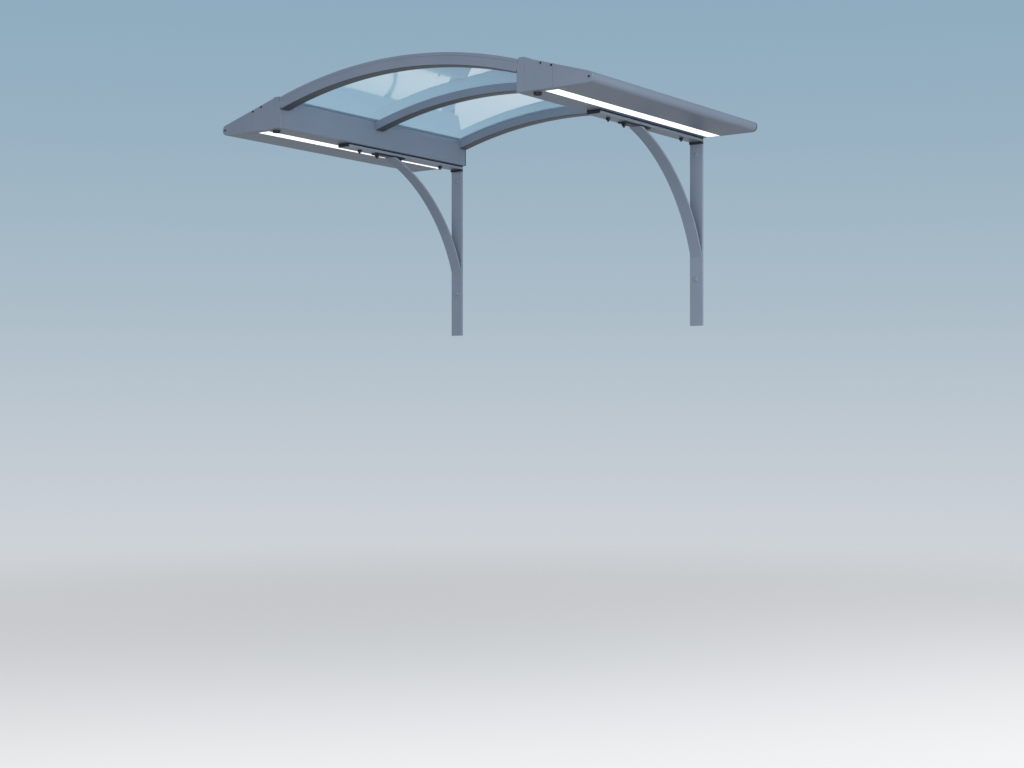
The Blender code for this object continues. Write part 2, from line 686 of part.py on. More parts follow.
def build_outlet(label, side):
    section = (
        (OUTLET_BORE, -OUTLET_DROP),
        (OUTLET_RADIUS - 0.001, -OUTLET_DROP),
        (OUTLET_RADIUS, 0.001 - OUTLET_DROP),
        (OUTLET_RADIUS, -CONTACT_GAP),
        (OUTLET_NECK_RADIUS, -CONTACT_GAP),
        (OUTLET_NECK_RADIUS, SKIN + OUTLET_RISE),
        (OUTLET_BORE, SKIN + OUTLET_RISE),
    )
    bm = bmesh.new()
    rings = []
    for radius, z in section:
        rings.append([(u, v, z) for u, v in circle((side * OUTLET_X, OUTLET_Y), radius, 16)])
    add_rings(bm, rings, closed=True)
    place_object(f"drain_outlet_{label}", bm, BLACK_PLASTIC, smooth=True)


def both_edges(half, depth):
    """A half section drawn from the front edge, with its mirror image at the back edge."""
    return half + [(depth - y, r) for y, r in reversed(half)]


def arch_section():
    """An open channel with inner lips and a thick round port in each side wall."""
    port_y, port_r = ARCH_PORT_INSET, ARCH_PORT_HEIGHT
    half = [
        (0.0, ARCH_HEIGHT),
        (0.0, 0.0),
        (ARCH_LIP, 0.0),
        (ARCH_LIP, ARCH_WALL),
        (ARCH_WALL, ARCH_WALL),
        (ARCH_WALL, port_r - 0.0045),
        (port_y + 0.0021, port_r - 0.0035),
        (port_y + 0.0039, port_r),
        (port_y + 0.0021, port_r + 0.0035),
        (ARCH_WALL, port_r + 0.0045),
        (ARCH_WALL, ARCH_HEIGHT - ARCH_WALL),
    ]
    loops = [both_edges(half, ARCH_DEPTH)]
    loops.append(circle((port_y, port_r), ARCH_PORT_RADIUS, 6))
    loops.append(circle((ARCH_DEPTH - port_y, port_r), ARCH_PORT_RADIUS, 6))
    return loops


def strip_section():
    """The dark strip that closes an arch from below and hooks over its lips."""
    leg_y = ARCH_LIP + CONTACT_GAP
    hook_r = ARCH_WALL + CONTACT_GAP
    half = [
        (CONTACT_GAP, -CONTACT_GAP - STRIP_THICKNESS),
        (CONTACT_GAP, -CONTACT_GAP),
        (leg_y, -CONTACT_GAP),
        (leg_y, hook_r),
        (leg_y - STRIP_HOOK, hook_r),
        (leg_y - STRIP_HOOK, hook_r + 0.0008),
        (leg_y, hook_r + 0.0028),
        (leg_y + STRIP_LEG, hook_r + 0.0028),
        (leg_y + STRIP_LEG, -CONTACT_GAP),
    ]
    return [both_edges(half, ARCH_DEPTH)]


def on_arch(loops, front_y):
    """Move a section drawn from the arch's front lower corner to its place on the roof."""
    return [[(front_y + y, ARCH_IN_RADIUS + r) for y, r in loop] for loop in loops]


def build_arches():
    for label, front_y in ARCH_FRONTS.items():
        bend_over_roof(
            f"{label}_arch", on_arch(arch_section(), front_y), ARCH_END_ANGLE, COATED_METAL
        )
        bend_over_roof(
            f"{label}_arch_strip", on_arch(strip_section(), front_y), ARCH_END_ANGLE, BLACK_PLASTIC
        )


def build_gasket():
    """One rubber gasket under the sheet: a strip on each seat and one on each arch."""
    end = math.asin((SEAT_IN_X + 0.004) / SEAL_IN_RADIUS)
    strips = []
    for label, front_y in ARCH_FRONTS.items():
        section = box_loop(
            front_y + SEAL_INSET, SEAL_IN_RADIUS, front_y + ARCH_DEPTH - SEAL_INSET, SEAL_OUT_RADIUS
        )
        strips.append(bend_over_roof(f"gasket_{label}", [section], end, GREY_RUBBER))
    low_x, high_x = SEAT_IN_X + 0.001, SEAT_OUT_X - 0.0005
    section = [
        (low_x, arc_z(low_x, ARCH_OUT_RADIUS) + CONTACT_GAP),
        (high_x, arc_z(high_x, ARCH_OUT_RADIUS) + CONTACT_GAP),
        (high_x, arc_z(high_x, SEAL_OUT_RADIUS)),
        (low_x, arc_z(low_x, SEAL_OUT_RADIUS)),
    ]
    gasket = extrude_y(
        "glazing_gasket", [section], PROFILE_FRONT_Y, PROFILE_BACK_Y - 0.0005, 1, GREY_RUBBER
    )
    strips.append(extrude_y(
        "gasket_left", [section], PROFILE_FRONT_Y, PROFILE_BACK_Y - 0.0005, -1, GREY_RUBBER
    ))
    for strip in strips:
        combine(gasket, strip, "UNION")


def build_sheet_and_covers():
    """The clear sheet with the two profiles that hold it down, at the front and at the wall."""
    sheet = box_loop(SHEET_FRONT_Y, ROOF_RADIUS, SHEET_BACK_Y, SHEET_TOP_RADIUS)
    bend_over_roof("glazing_sheet", [sheet], SHEET_END_ANGLE, CLEAR_SHEET)

    lip_r = ARCH_OUT_RADIUS + CONTACT_GAP
    foot_y = ARCH_DEPTH - COVER_FOOT_WIDTH
    cover = [
        (0.0, lip_r),
        (COVER_THICKNESS, lip_r),
        (COVER_THICKNESS, COVER_IN_RADIUS),
        (foot_y, COVER_IN_RADIUS),
        (foot_y, COVER_FOOT_RADIUS),
        (ARCH_DEPTH, COVER_FOOT_RADIUS),
        (ARCH_DEPTH, COVER_OUT_RADIUS),
        (0.0, COVER_OUT_RADIUS),
    ]
    for label, edge_y, inwards in (("front", FRONT_Y, 1), ("wall", 0.0, -1)):
        section = [(edge_y + inwards * y, r) for y, r in cover]
        bend_over_roof(f"{label}_cover_strip", [section], COVER_END_ANGLE, COATED_METAL)

    bead_r = COVER_OUT_RADIUS + CONTACT_GAP
    bead = [(-WALL_SEAL_DEPTH, bead_r), (0.0, bead_r), (0.0, bead_r + WALL_SEAL_DEPTH)]
    end = math.asin((HOOD_IN_X - CONTACT_GAP) / (bead_r + WALL_SEAL_DEPTH))
    bend_over_roof("wall_seal", [bead], end, BLACK_RUBBER)


def build_angles(label, side):
    """An angle behind each free arch. One leg lies on the band, the other on the arch."""
    low_r = ARCH_IN_RADIUS + ANGLE_RISE
    for arch in ("front", "middle"):
        back_y = ARCH_FRONTS[arch] + ARCH_DEPTH
        near, far = CONTACT_GAP, CONTACT_GAP + ANGLE_THICKNESS
        outline = [
            (near, back_y + CONTACT_GAP),
            (ANGLE_ARCH_LEG, back_y + CONTACT_GAP),
            (ANGLE_ARCH_LEG, back_y + CONTACT_GAP + ANGLE_THICKNESS),
            (far, back_y + CONTACT_GAP + ANGLE_THICKNESS),
            (far, back_y + ANGLE_WALL_LEG),
            (near, back_y + ANGLE_WALL_LEG),
        ]

        def place(inset, y, radius):
            x, z = band_point(radius, inset)
            return (side * x, y, z)

        bm = bmesh.new()
        add_profile(bm, [outline], (low_r, low_r + ANGLE_HEIGHT), place)
        place_object(f"{arch}_arch_angle_{label}", bm, COATED_METAL)


def bar(name, y_low, y_high, z_low, z_high, side, material, width=BAR_WIDTH):
    """A flat bar centred on the bracket's line."""
    section = box_loop(BRACKET_X - width / 2, z_low, BRACKET_X + width / 2, z_high)
    return extrude_y(name, [section], y_low, y_high, side, material)


def wall_screw_cutter(label, side):
    bm = bmesh.new()
    for z in WALL_SCREW_ZS:
        ring = circle((side * BRACKET_X, z), WALL_SCREW_HOLE_RADIUS, 12)
        add_rings(bm, [[(u, y, v) for u, v in ring] for y in (-0.030, 0.005)])
    return place_object(f"cut_wall_screws_{label}", bm, DARK_STEEL)


def build_rail(label, side, bolt_holes):
    pad = bar(
        f"rail_pad_{label}", -RAIL_LENGTH, -RAIL_BACK_CLEARANCE, -PAD_THICKNESS - CONTACT_GAP,
        -CONTACT_GAP, side, BLACK_RUBBER,
    )
    combine(pad, bolt_holes)

    low_x, high_x = BRACKET_X - BAR_WIDTH / 2, BRACKET_X + BAR_WIDTH / 2
    low_z, high_z = RAIL_BOTTOM_Z + RAIL_WALL, RAIL_TOP_Z - RAIL_WALL
    hollows = [
        (low_x + RAIL_WALL, BRACKET_X - RAIL_CORE / 2),
        (BRACKET_X + RAIL_CORE / 2, high_x - RAIL_WALL),
    ]
    loops = [box_loop(low_x, RAIL_BOTTOM_Z, high_x, RAIL_TOP_Z)]
    loops += [box_loop(left, low_z, right, high_z) for left, right in hollows]
    plate_back_y = -RAIL_LENGTH + RAIL_CAP_THICKNESS
    rail = extrude_y(
        f"bracket_rail_{label}", loops, plate_back_y + CONTACT_GAP, -RAIL_BACK_CLEARANCE,
        side, BAR_METAL,
    )
    combine(rail, bolt_holes)

    cap = bar(
        f"rail_end_cap_{label}", -RAIL_LENGTH, plate_back_y, RAIL_BOTTOM_Z, RAIL_TOP_Z,
        side, BLACK_PLASTIC,
    )
    for i, (left, right) in enumerate(hollows):
        plug = box_loop(
            left + CONTACT_GAP, low_z + CONTACT_GAP, right - CONTACT_GAP, high_z - CONTACT_GAP
        )
        combine(cap, extrude_y(
            f"plug_{label}_{i}", [plug], plate_back_y - 0.001, plate_back_y + RAIL_CAP_PLUG,
            side, BLACK_PLASTIC,
        ), "UNION")


def build_brace(label, side, bolt_holes):
    """A flat bar bent to an arc, cut level under its plate and upright where it meets the post."""
    def place(x, radius, share):
        low = math.acos((-POST_THICKNESS - CONTACT_GAP - BRACE_CENTRE_Y) / radius)
        high = math.asin((BRACE_TOP_Z - BRACE_CENTRE_Z) / radius)
        angle = low + share * (high - low)
        return (
            side * x,
            BRACE_CENTRE_Y + radius * math.cos(angle),
            BRACE_CENTRE_Z + radius * math.sin(angle),
        )

    section = box_loop(
        BRACKET_X - BRACE_WIDTH / 2, BRACE_RADIUS, BRACKET_X + BRACE_WIDTH / 2, BRACE_OUT_RADIUS
    )
    bm = bmesh.new()
    add_profile(bm, [section], [i / BRACE_STEPS for i in range(BRACE_STEPS + 1)], place)
    place_object(f"brace_{label}", bm, BAR_METAL, smooth=True)

    plate = bar(
        f"brace_plate_{label}", PLATE_FRONT_Y, PLATE_BACK_Y, PLATE_BOTTOM_Z, PLATE_TOP_Z,
        side, BLACK_PLASTIC, BRACE_PLATE_WIDTH,
    )
    combine(plate, bolt_holes)


def build_post(label, side, screw_holes):
    post = bar(
        f"wall_post_{label}", -POST_THICKNESS, 0.0, POST_TOP_Z - POST_LENGTH, POST_TOP_Z,
        side, BAR_METAL,
    )
    combine(post, screw_holes)
    bar(
        f"post_top_block_{label}", -TOP_BLOCK_DEPTH, 0.0, BLOCK_TOP_Z - TOP_BLOCK_HEIGHT,
        BLOCK_TOP_Z, side, BLACK_PLASTIC,
    )


def build_bracket_fasteners(label, side):
    """Bolts with their nuts, from the gutter through the rail, and the screws in the post."""
    x = side * BRACKET_X
    seats = (
        ("rail_bolt_front", RAIL_BOLT_YS[0], RAIL_BOTTOM_Z),
        ("rail_bolt_rear", RAIL_BOLT_YS[1], RAIL_BOTTOM_Z),
        ("brace_bolt_front", PLATE_BOLT_YS[0], PLATE_BOTTOM_Z),
        ("brace_bolt_rear", PLATE_BOLT_YS[1], PLATE_BOTTOM_Z),
    )
    head_z = SKIN + CONTACT_GAP
    for name, y, seat_z in seats:
        nut_top_z = seat_z - CONTACT_GAP
        nut_low_z = nut_top_z - NUT_HEIGHT
        head, nut = hexagon((x, y), BOLT_HEAD_FLATS), hexagon((x, y), NUT_FLATS)
        shank = circle((x, y), BOLT_RADIUS, 12)
        stack = (
            (head, head_z + BOLT_HEAD_HEIGHT),
            (head, head_z),
            (shank, head_z),
            (shank, nut_top_z),
            (nut, nut_top_z),
            (nut, nut_low_z),
            (shank, nut_low_z),
            (shank, nut_low_z - BOLT_TIP),
        )
        bm = bmesh.new()
        add_rings(bm, [[(u, v, z) for u, v in ring] for ring, z in stack])
        place_object(f"{name}_{label}", bm, DARK_STEEL)

    seat_y = -POST_THICKNESS - CONTACT_GAP
    for name, z in zip(("wall_screw_upper", "wall_screw_lower"), WALL_SCREW_ZS):
        bm = bmesh.new()
        add_screw(
            bm, lambda u, v, depth: (x + u, seat_y + depth, z + v),
            WALL_SCREW_HEAD_RADIUS, WALL_SCREW_HEAD_HEIGHT, WALL_SCREW_RADIUS,
            -seat_y - CONTACT_GAP, 12,
        )
        place_object(f"{name}_{label}", bm, BAR_METAL, smooth=True)


WALL_SCREW_ZS = (POST_TOP_Z - UPPER_SCREW_DROP, POST_TOP_Z - LOWER_SCREW_DROP)

build_arches()
build_gasket()
build_sheet_and_covers()
for LABEL, SIDE in SIDES.items():
    BOLT_HOLES = upright_cutter(
        f"cut_bolts_{LABEL}", [(BRACKET_X, y) for y in RAIL_BOLT_YS + PLATE_BOLT_YS],
        BOLT_HOLE_RADIUS, -0.030, 0.006, SIDE, DARK_STEEL,
    )
    SCREW_HOLES = wall_screw_cutter(LABEL, SIDE)
    build_side_profile(LABEL, SIDE, BOLT_HOLES)
    build_front_cap(LABEL, SIDE)
    build_rear_cap(LABEL, SIDE)
    build_cap_screws(LABEL, SIDE)
    build_light(LABEL, SIDE)
    build_outlet(LABEL, SIDE)
    build_angles(LABEL, SIDE)
    build_rail(LABEL, SIDE, BOLT_HOLES)
    build_brace(LABEL, SIDE, BOLT_HOLES)
    build_post(LABEL, SIDE, SCREW_HOLES)
    build_bracket_fasteners(LABEL, SIDE)
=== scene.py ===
"""Dressed model of the door canopy: metal finishes, seals, fasteners, the clear roof and its lights."""

import math

import bmesh
import bpy
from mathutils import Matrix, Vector
from mathutils.geometry import delaunay_2d_cdt


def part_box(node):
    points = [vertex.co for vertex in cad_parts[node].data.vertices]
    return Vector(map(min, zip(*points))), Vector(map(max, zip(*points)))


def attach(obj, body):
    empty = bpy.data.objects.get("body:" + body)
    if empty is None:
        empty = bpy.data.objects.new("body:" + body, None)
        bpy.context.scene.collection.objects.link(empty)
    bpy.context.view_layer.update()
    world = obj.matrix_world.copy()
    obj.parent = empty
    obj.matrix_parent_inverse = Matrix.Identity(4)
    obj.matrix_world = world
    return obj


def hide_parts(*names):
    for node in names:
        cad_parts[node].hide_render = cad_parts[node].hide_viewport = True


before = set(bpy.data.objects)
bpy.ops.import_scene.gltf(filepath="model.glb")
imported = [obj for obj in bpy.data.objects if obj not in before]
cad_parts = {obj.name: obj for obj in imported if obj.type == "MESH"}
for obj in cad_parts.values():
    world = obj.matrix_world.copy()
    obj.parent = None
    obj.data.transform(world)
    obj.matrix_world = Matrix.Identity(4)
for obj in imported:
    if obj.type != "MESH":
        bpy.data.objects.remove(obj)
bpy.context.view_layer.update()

# Camera, level and turned to the canopy's right front, as low as a passer-by's waist. Heights are
# given from the underside of the side profiles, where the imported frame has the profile's lowest point.
profile_low, profile_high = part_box("side_profile_right")
underside_z = profile_low.z
camera_data = bpy.data.cameras.new("camera")
camera_data.sensor_width = 36.0
camera_data.lens = 58.328
camera_data.shift_x = -0.0183
camera_data.shift_y = 0.0426
camera = bpy.data.objects.new("camera", camera_data)
camera.location = (4.1552, -6.0450, underside_z - 1.2116)
camera.rotation_euler = (math.radians(90.0), 0.0, math.radians(35.910))
bpy.context.scene.collection.objects.link(camera)
bpy.context.scene.camera = camera
bpy.context.scene.view_settings.view_transform = "Standard"

# Backdrop, a studio cloth that runs from pale grey at the floor to soft blue overhead. The camera,
# the clear roof and the metal's gloss see the cloth, and the diffuse light on the canopy is plain.
world = bpy.data.worlds.new("studio")
bpy.context.scene.world = world
world.use_nodes = True
studio_nodes, studio_links = world.node_tree.nodes, world.node_tree.links
studio_nodes.clear()
sky_direction = studio_nodes.new("ShaderNodeTexCoord")
height = studio_nodes.new("ShaderNodeSeparateXYZ")
studio_links.new(sky_direction.outputs["Generated"], height.inputs[0])
height_range = studio_nodes.new("ShaderNodeMapRange")
height_range.inputs["From Min"].default_value = -0.20
height_range.inputs["From Max"].default_value = 0.27
studio_links.new(height.outputs["Z"], height_range.inputs["Value"])
cloth = studio_nodes.new("ShaderNodeValToRGB")
studio_links.new(height_range.outputs["Result"], cloth.inputs[0])
cloth_colours = (
    (0.00, (0.723, 0.730, 0.723)),
    (0.30, (0.604, 0.638, 0.680)),
    (0.58, (0.413, 0.509, 0.584)),
    (0.78, (0.319, 0.445, 0.546)),
    (1.00, (0.258, 0.398, 0.515)),
)
while len(cloth.color_ramp.elements) < len(cloth_colours):
    cloth.color_ramp.elements.new(0.5)
for stop, (place, colour) in zip(cloth.color_ramp.elements, cloth_colours):
    stop.position = place
    stop.color = (*colour, 1.0)
fill_range = studio_nodes.new("ShaderNodeMapRange")
fill_range.inputs["From Min"].default_value = -1.0
fill_range.inputs["From Max"].default_value = 1.0
fill_range.inputs["To Min"].default_value = 0.22
fill_range.inputs["To Max"].default_value = 0.82
studio_links.new(height.outputs["Z"], fill_range.inputs["Value"])
seen = studio_nodes.new("ShaderNodeLightPath")
seen_or_glossy = studio_nodes.new("ShaderNodeMath")
seen_or_glossy.operation = "MAXIMUM"
studio_links.new(seen.outputs["Is Camera Ray"], seen_or_glossy.inputs[0])
studio_links.new(seen.outputs["Is Glossy Ray"], seen_or_glossy.inputs[1])
seen_at_all = studio_nodes.new("ShaderNodeMath")
seen_at_all.operation = "MAXIMUM"
studio_links.new(seen_or_glossy.outputs[0], seen_at_all.inputs[0])
studio_links.new(seen.outputs["Is Transmission Ray"], seen_at_all.inputs[1])
fill_light = studio_nodes.new("ShaderNodeBackground")
fill_light.inputs["Color"].default_value = (0.96, 0.98, 1.0, 1.0)
studio_links.new(fill_range.outputs["Result"], fill_light.inputs["Strength"])
cloth_light = studio_nodes.new("ShaderNodeBackground")
studio_links.new(cloth.outputs["Color"], cloth_light.inputs["Color"])
studio_mix = studio_nodes.new("ShaderNodeMixShader")
studio_links.new(seen_at_all.outputs[0], studio_mix.inputs["Fac"])
studio_links.new(fill_light.outputs[0], studio_mix.inputs[1])
studio_links.new(cloth_light.outputs[0], studio_mix.inputs[2])
studio_out = studio_nodes.new("ShaderNodeOutputWorld")
studio_links.new(studio_mix.outputs[0], studio_out.inputs["Surface"])

# Lamps, two large soft boxes near the canopy's height, one in front and one to the right. They keep
# the upright metal faces even and leave the undersides darker.
for name, place, aim, size, power in (
    ("front_softbox", (2.2, -6.2, -0.7), (0.0, -0.6, -0.4), 3.0, 190.0),
    ("right_softbox", (6.0, -1.2, 0.4), (0.0, -0.6, -0.2), 4.0, 245.0),
):
    lamp_data = bpy.data.lights.new(name, "AREA")
    lamp_data.size = size
    lamp_data.energy = power
    lamp = bpy.data.objects.new(name, lamp_data)
    lamp.location = place
    lamp.rotation_euler = (Vector(aim) - Vector(place)).to_track_quat("-Z", "Y").to_euler()
    bpy.context.scene.collection.objects.link(lamp)

# Floor, a pale painted floor 2.1 m under the canopy that fades into the backdrop. Diffuse rays see
# it darker, so that it throws little light up at the undersides.
FLOOR_DROP = 2.127
FLOOR_RADIUS = 7.0
floor_bm = bmesh.new()
bmesh.ops.create_circle(floor_bm, cap_ends=True, segments=96, radius=FLOOR_RADIUS)
bmesh.ops.translate(floor_bm, verts=floor_bm.verts, vec=(0.0, -0.6, underside_z - FLOOR_DROP))
floor_mesh = bpy.data.meshes.new("floor")
floor_bm.to_mesh(floor_mesh)
floor_bm.free()
floor = bpy.data.objects.new("floor", floor_mesh)
bpy.context.scene.collection.objects.link(floor)
floor_material = bpy.data.materials.new("pale_floor")
floor_material.use_nodes = True
floor_nodes, floor_links = floor_material.node_tree.nodes, floor_material.node_tree.links
floor_shader = floor_nodes["Principled BSDF"]
floor_seen = floor_nodes.new("ShaderNodeLightPath")
floor_colour = floor_nodes.new("ShaderNodeMix")
floor_colour.data_type = "RGBA"
floor_colour.inputs["A"].default_value = (0.68, 0.683, 0.687, 1.0)
floor_colour.inputs["B"].default_value = (0.23, 0.26, 0.31, 1.0)
floor_links.new(floor_seen.outputs["Is Diffuse Ray"], floor_colour.inputs["Factor"])
floor_links.new(floor_colour.outputs["Result"], floor_shader.inputs["Base Color"])
floor_shader.inputs["Roughness"].default_value = 0.9
floor_shader.inputs["Specular IOR Level"].default_value = 0.0
floor_place = floor_nodes.new("ShaderNodeTexCoord")
floor_centre = floor_nodes.new("ShaderNodeMapping")
floor_centre.inputs["Location"].default_value = (0.0, 0.6, FLOOR_DROP - underside_z)
floor_links.new(floor_place.outputs["Object"], floor_centre.inputs["Vector"])
floor_distance = floor_nodes.new("ShaderNodeVectorMath")
floor_distance.operation = "LENGTH"
floor_links.new(floor_centre.outputs["Vector"], floor_distance.inputs[0])
floor_fade = floor_nodes.new("ShaderNodeMapRange")
floor_fade.interpolation_type = "SMOOTHSTEP"
floor_fade.inputs["From Min"].default_value = 1.2
floor_fade.inputs["From Max"].default_value = FLOOR_RADIUS * 0.95
floor_fade.inputs["To Min"].default_value = 1.0
floor_fade.inputs["To Max"].default_value = 0.0
floor_links.new(floor_distance.outputs["Value"], floor_fade.inputs["Value"])
floor_links.new(floor_fade.outputs["Result"], floor_shader.inputs["Alpha"])
floor_mesh.materials.append(floor_material)

# Side profiles, the two wide aluminium extrusions that carry everything. Each holds a rain gutter
# under the sheet's edge, an open channel for the light and a round nose, and is powder-coated in a
# blue-grey metallic. The section is drawn in x and z from the underside and mirrored for the left.
SKIN = 0.0025
GAP = 0.0003
NOSE_RADIUS = 0.021
ROOF_RADIUS = 2.117
SHEET_THICKNESS = 0.004
SEAT_DROP = 0.0023
GUTTER_WIDTH = 0.096
LIGHT_WIDTH = 0.058
LIGHT_DEPTH = 0.030
HOOD_SETBACK = 0.007
HOOD_LENGTH = 0.027
HOOD_STEP = 0.0038
HOOD_THICKNESS = 0.003
HOOD_WALL = 0.0055
BAND_HEIGHT = 0.02265
SEAT_LENGTH = 0.0145
SEAT_RADIUS = ROOF_RADIUS - SEAT_DROP
inner_x, outer_x = profile_low.x, profile_high.x
nose_x = outer_x - NOSE_RADIUS
sheet_low, sheet_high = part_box("glazing_sheet")
roof_centre = sheet_high.z - underside_z - ROOF_RADIUS - SHEET_THICKNESS
gutter_in_x = inner_x + SKIN
gutter_out_x = gutter_in_x + GUTTER_WIDTH
light_in_x = gutter_out_x + SKIN
light_out_x = light_in_x + LIGHT_WIDTH
chamber_x = light_out_x + SKIN
hood_in_x = inner_x + HOOD_SETBACK
hood_out_x = hood_in_x + HOOD_LENGTH
hood_top = profile_high.z - underside_z
shoulder_z = hood_top - HOOD_STEP
hood_low = hood_top - HOOD_THICKNESS
band_start = roof_centre + math.sqrt(SEAT_RADIUS**2 - inner_x**2) - BAND_HEIGHT
band_angle = math.atan(inner_x / (band_start - roof_centre))
seat_in_x = SEAT_RADIUS * math.sin(band_angle)
seat_out_x = seat_in_x + SEAT_LENGTH
top_slope = math.atan2(shoulder_z - NOSE_RADIUS, nose_x - hood_out_x) - math.asin(
    NOSE_RADIUS / math.hypot(nose_x - hood_out_x, shoulder_z - NOSE_RADIUS)
)
top_normal = math.pi / 2 - top_slope
SIDES = {"left": -1, "right": 1}


def top_z(x, depth=0.0):
    """Height of the sloping top at x, or of the line at a depth below it."""
    return shoulder_z - (x - hood_out_x) * math.tan(top_slope) - depth / math.cos(top_slope)


def arc_z(x, radius):
    """Height of a roof radius at x."""
    return roof_centre + math.sqrt(radius**2 - x**2)


def band_point(radius, inset):
    """A point at a distance inwards from the leaning plane of the arches' square-cut ends."""
    x = radius * math.sin(band_angle) - inset * math.cos(band_angle)
    return (x, roof_centre + radius * math.cos(band_angle) + inset * math.sin(band_angle))


def arc(centre, radius, start, end, count):
    """Points on a circle's arc, with both ends."""
    angles = [start + (end - start) * i / (count - 1) for i in range(count)]
    return [(centre[0] + radius * math.cos(a), centre[1] + radius * math.sin(a)) for a in angles]


def box_loop(u_low, v_low, u_high, v_high):
    """Outline of a rectangle."""
    return [(u_low, v_low), (u_high, v_low), (u_high, v_high), (u_low, v_high)]


def rounded(loop, radius, steps=3):
    """Round the corners of an outline. Corners under 20 degrees belong to arcs and stay."""
    points = [Vector(p) for p in loop]
    out = []
    for i, corner in enumerate(points):
        before, after = points[i - 1] - corner, points[(i + 1) % len(points)] - corner
        turn = math.pi - before.angle(after)
        if turn < math.radians(20):
            out.append(tuple(corner))
            continue
        reach = min(radius, before.length * 0.45, after.length * 0.45)
        start, end = corner + before.normalized() * reach, corner + after.normalized() * reach
        for k in range(steps + 1):
            t = k / steps
            point = start * (1 - t) ** 2 + corner * 2 * t * (1 - t) + end * t**2
            out.append(tuple(point))
    return out


def grown(loop, distance):
    """An outline whose every edge is moved outwards by a distance."""
    points = [Vector(p) for p in loop]
    area = sum(a.cross(b) for a, b in zip(points, points[1:] + points[:1]))
    side = 1.0 if area > 0 else -1.0
    out = []
    for i, point in enumerate(points):
        before = (point - points[i - 1]).normalized()
        after = (points[(i + 1) % len(points)] - point).normalized()
        normal = Vector((before.y + after.y, -before.x - after.x))
        if normal.length < 1e-9:
            out.append(tuple(point))
            continue
        normal.normalize()
        stretch = max(0.3, normal.dot(Vector((after.y, -after.x))))
        out.append(tuple(point + normal * side * distance / stretch))
    return out


def is_inside(point, loops):
    """Whether a point lies inside an outline and outside its holes."""
    crossings = 0
    for loop in loops:
        for start, end in zip(loop, loop[1:] + loop[:1]):
            if (start[1] > point[1]) != (end[1] > point[1]):
                share = (point[1] - start[1]) / (end[1] - start[1])
                crossings += point[0] < start[0] + share * (end[0] - start[0])
    return crossings % 2 == 1


def end_triangles(loops):
    """Triangles over an outline with holes, as indices into all its points."""
    points = [Vector(point) for loop in loops for point in loop]
    edges = []
    first = 0
    for loop in loops:
        edges += [(first + i, first + (i + 1) % len(loop)) for i in range(len(loop))]
        first += len(loop)
    found = delaunay_2d_cdt(points, edges, [], 0, 1e-9, True)
    kept = []
    for triangle in found[2]:
        middle = sum((found[0][i] for i in triangle), Vector((0.0, 0.0))) / 3
        if is_inside(middle, loops):
            kept.append([found[3][i][0] for i in triangle])
    return kept


def sweep(bm, loops, stations, place):
    """Sweep a section with holes. A station is a position, or a position with an edge's setback."""
    rows = []
    for station in stations:
        position, setback = station if isinstance(station, tuple) else (station, 0.0)
        row = []
        for i, loop in enumerate(loops):
            shape = grown(loop, -setback if i == 0 else setback) if setback else loop
            row.append([bm.verts.new(place(u, v, position)) for u, v in shape])
        rows.append(row)
    for row, following in zip(rows, rows[1:]):
        for loop, after in zip(row, following):
            for i in range(len(loop)):
                j = (i + 1) % len(loop)
                bm.faces.new((loop[i], loop[j], after[j], after[i]))
    triangles = end_triangles([list(loop) for loop in loops])
    for row in (rows[0], rows[-1]):
        ends = [vert for loop in row for vert in loop]
        for triangle in triangles:
            bm.faces.new([ends[i] for i in triangle])


def along_y(side, base_z=0.0):
    """Place a section in x and z at a station along y, on the left or the right."""
    return lambda x, z, y: (side * x, y, base_z + z)


def eased(low, high, ease):
    """Stations from low to high whose two ends have an edge rounded by the ease."""
    near = ((low, ease), (low + ease * 0.3, ease * 0.3), (low + ease, 0.0))
    far = ((high - ease, 0.0), (high - ease * 0.3, ease * 0.3), (high, ease))
    return near + far


def finish_piece(name, bm, material, nodes, smooth_angle=35):
    """Turn the mesh into a piece that rides on the frame and stands for its CAD nodes."""
    bmesh.ops.recalc_face_normals(bm, faces=bm.faces)
    mesh = bpy.data.meshes.new(name + "_rough")
    bm.to_mesh(mesh)
    bm.free()
    mesh.materials.append(material)
    rough = bpy.data.objects.new(name + "_rough", mesh)
    bpy.context.scene.collection.objects.link(rough)
    return evaluated_piece(name, rough, nodes, smooth_angle)


def evaluated_piece(name, source, nodes, smooth_angle=35):
    """Shade the source by the size of its faces, make it a plain piece and drop the source."""
    source.data.shade_smooth()
    source.data.set_sharp_from_angle(angle=math.radians(smooth_angle))
    shading = source.modifiers.new("shading", "WEIGHTED_NORMAL")
    shading.keep_sharp = True
    shading.weight = 100
    bpy.context.view_layer.update()
    seen_by = source.evaluated_get(bpy.context.evaluated_depsgraph_get())
    mesh = bpy.data.meshes.new_from_object(seen_by)
    mesh.name = name
    bpy.data.objects.remove(source)
    piece = bpy.data.objects.new(name, mesh)
    bpy.context.scene.collection.objects.link(piece)
    if nodes:
        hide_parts(*nodes)
    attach(piece, "root")
    return piece


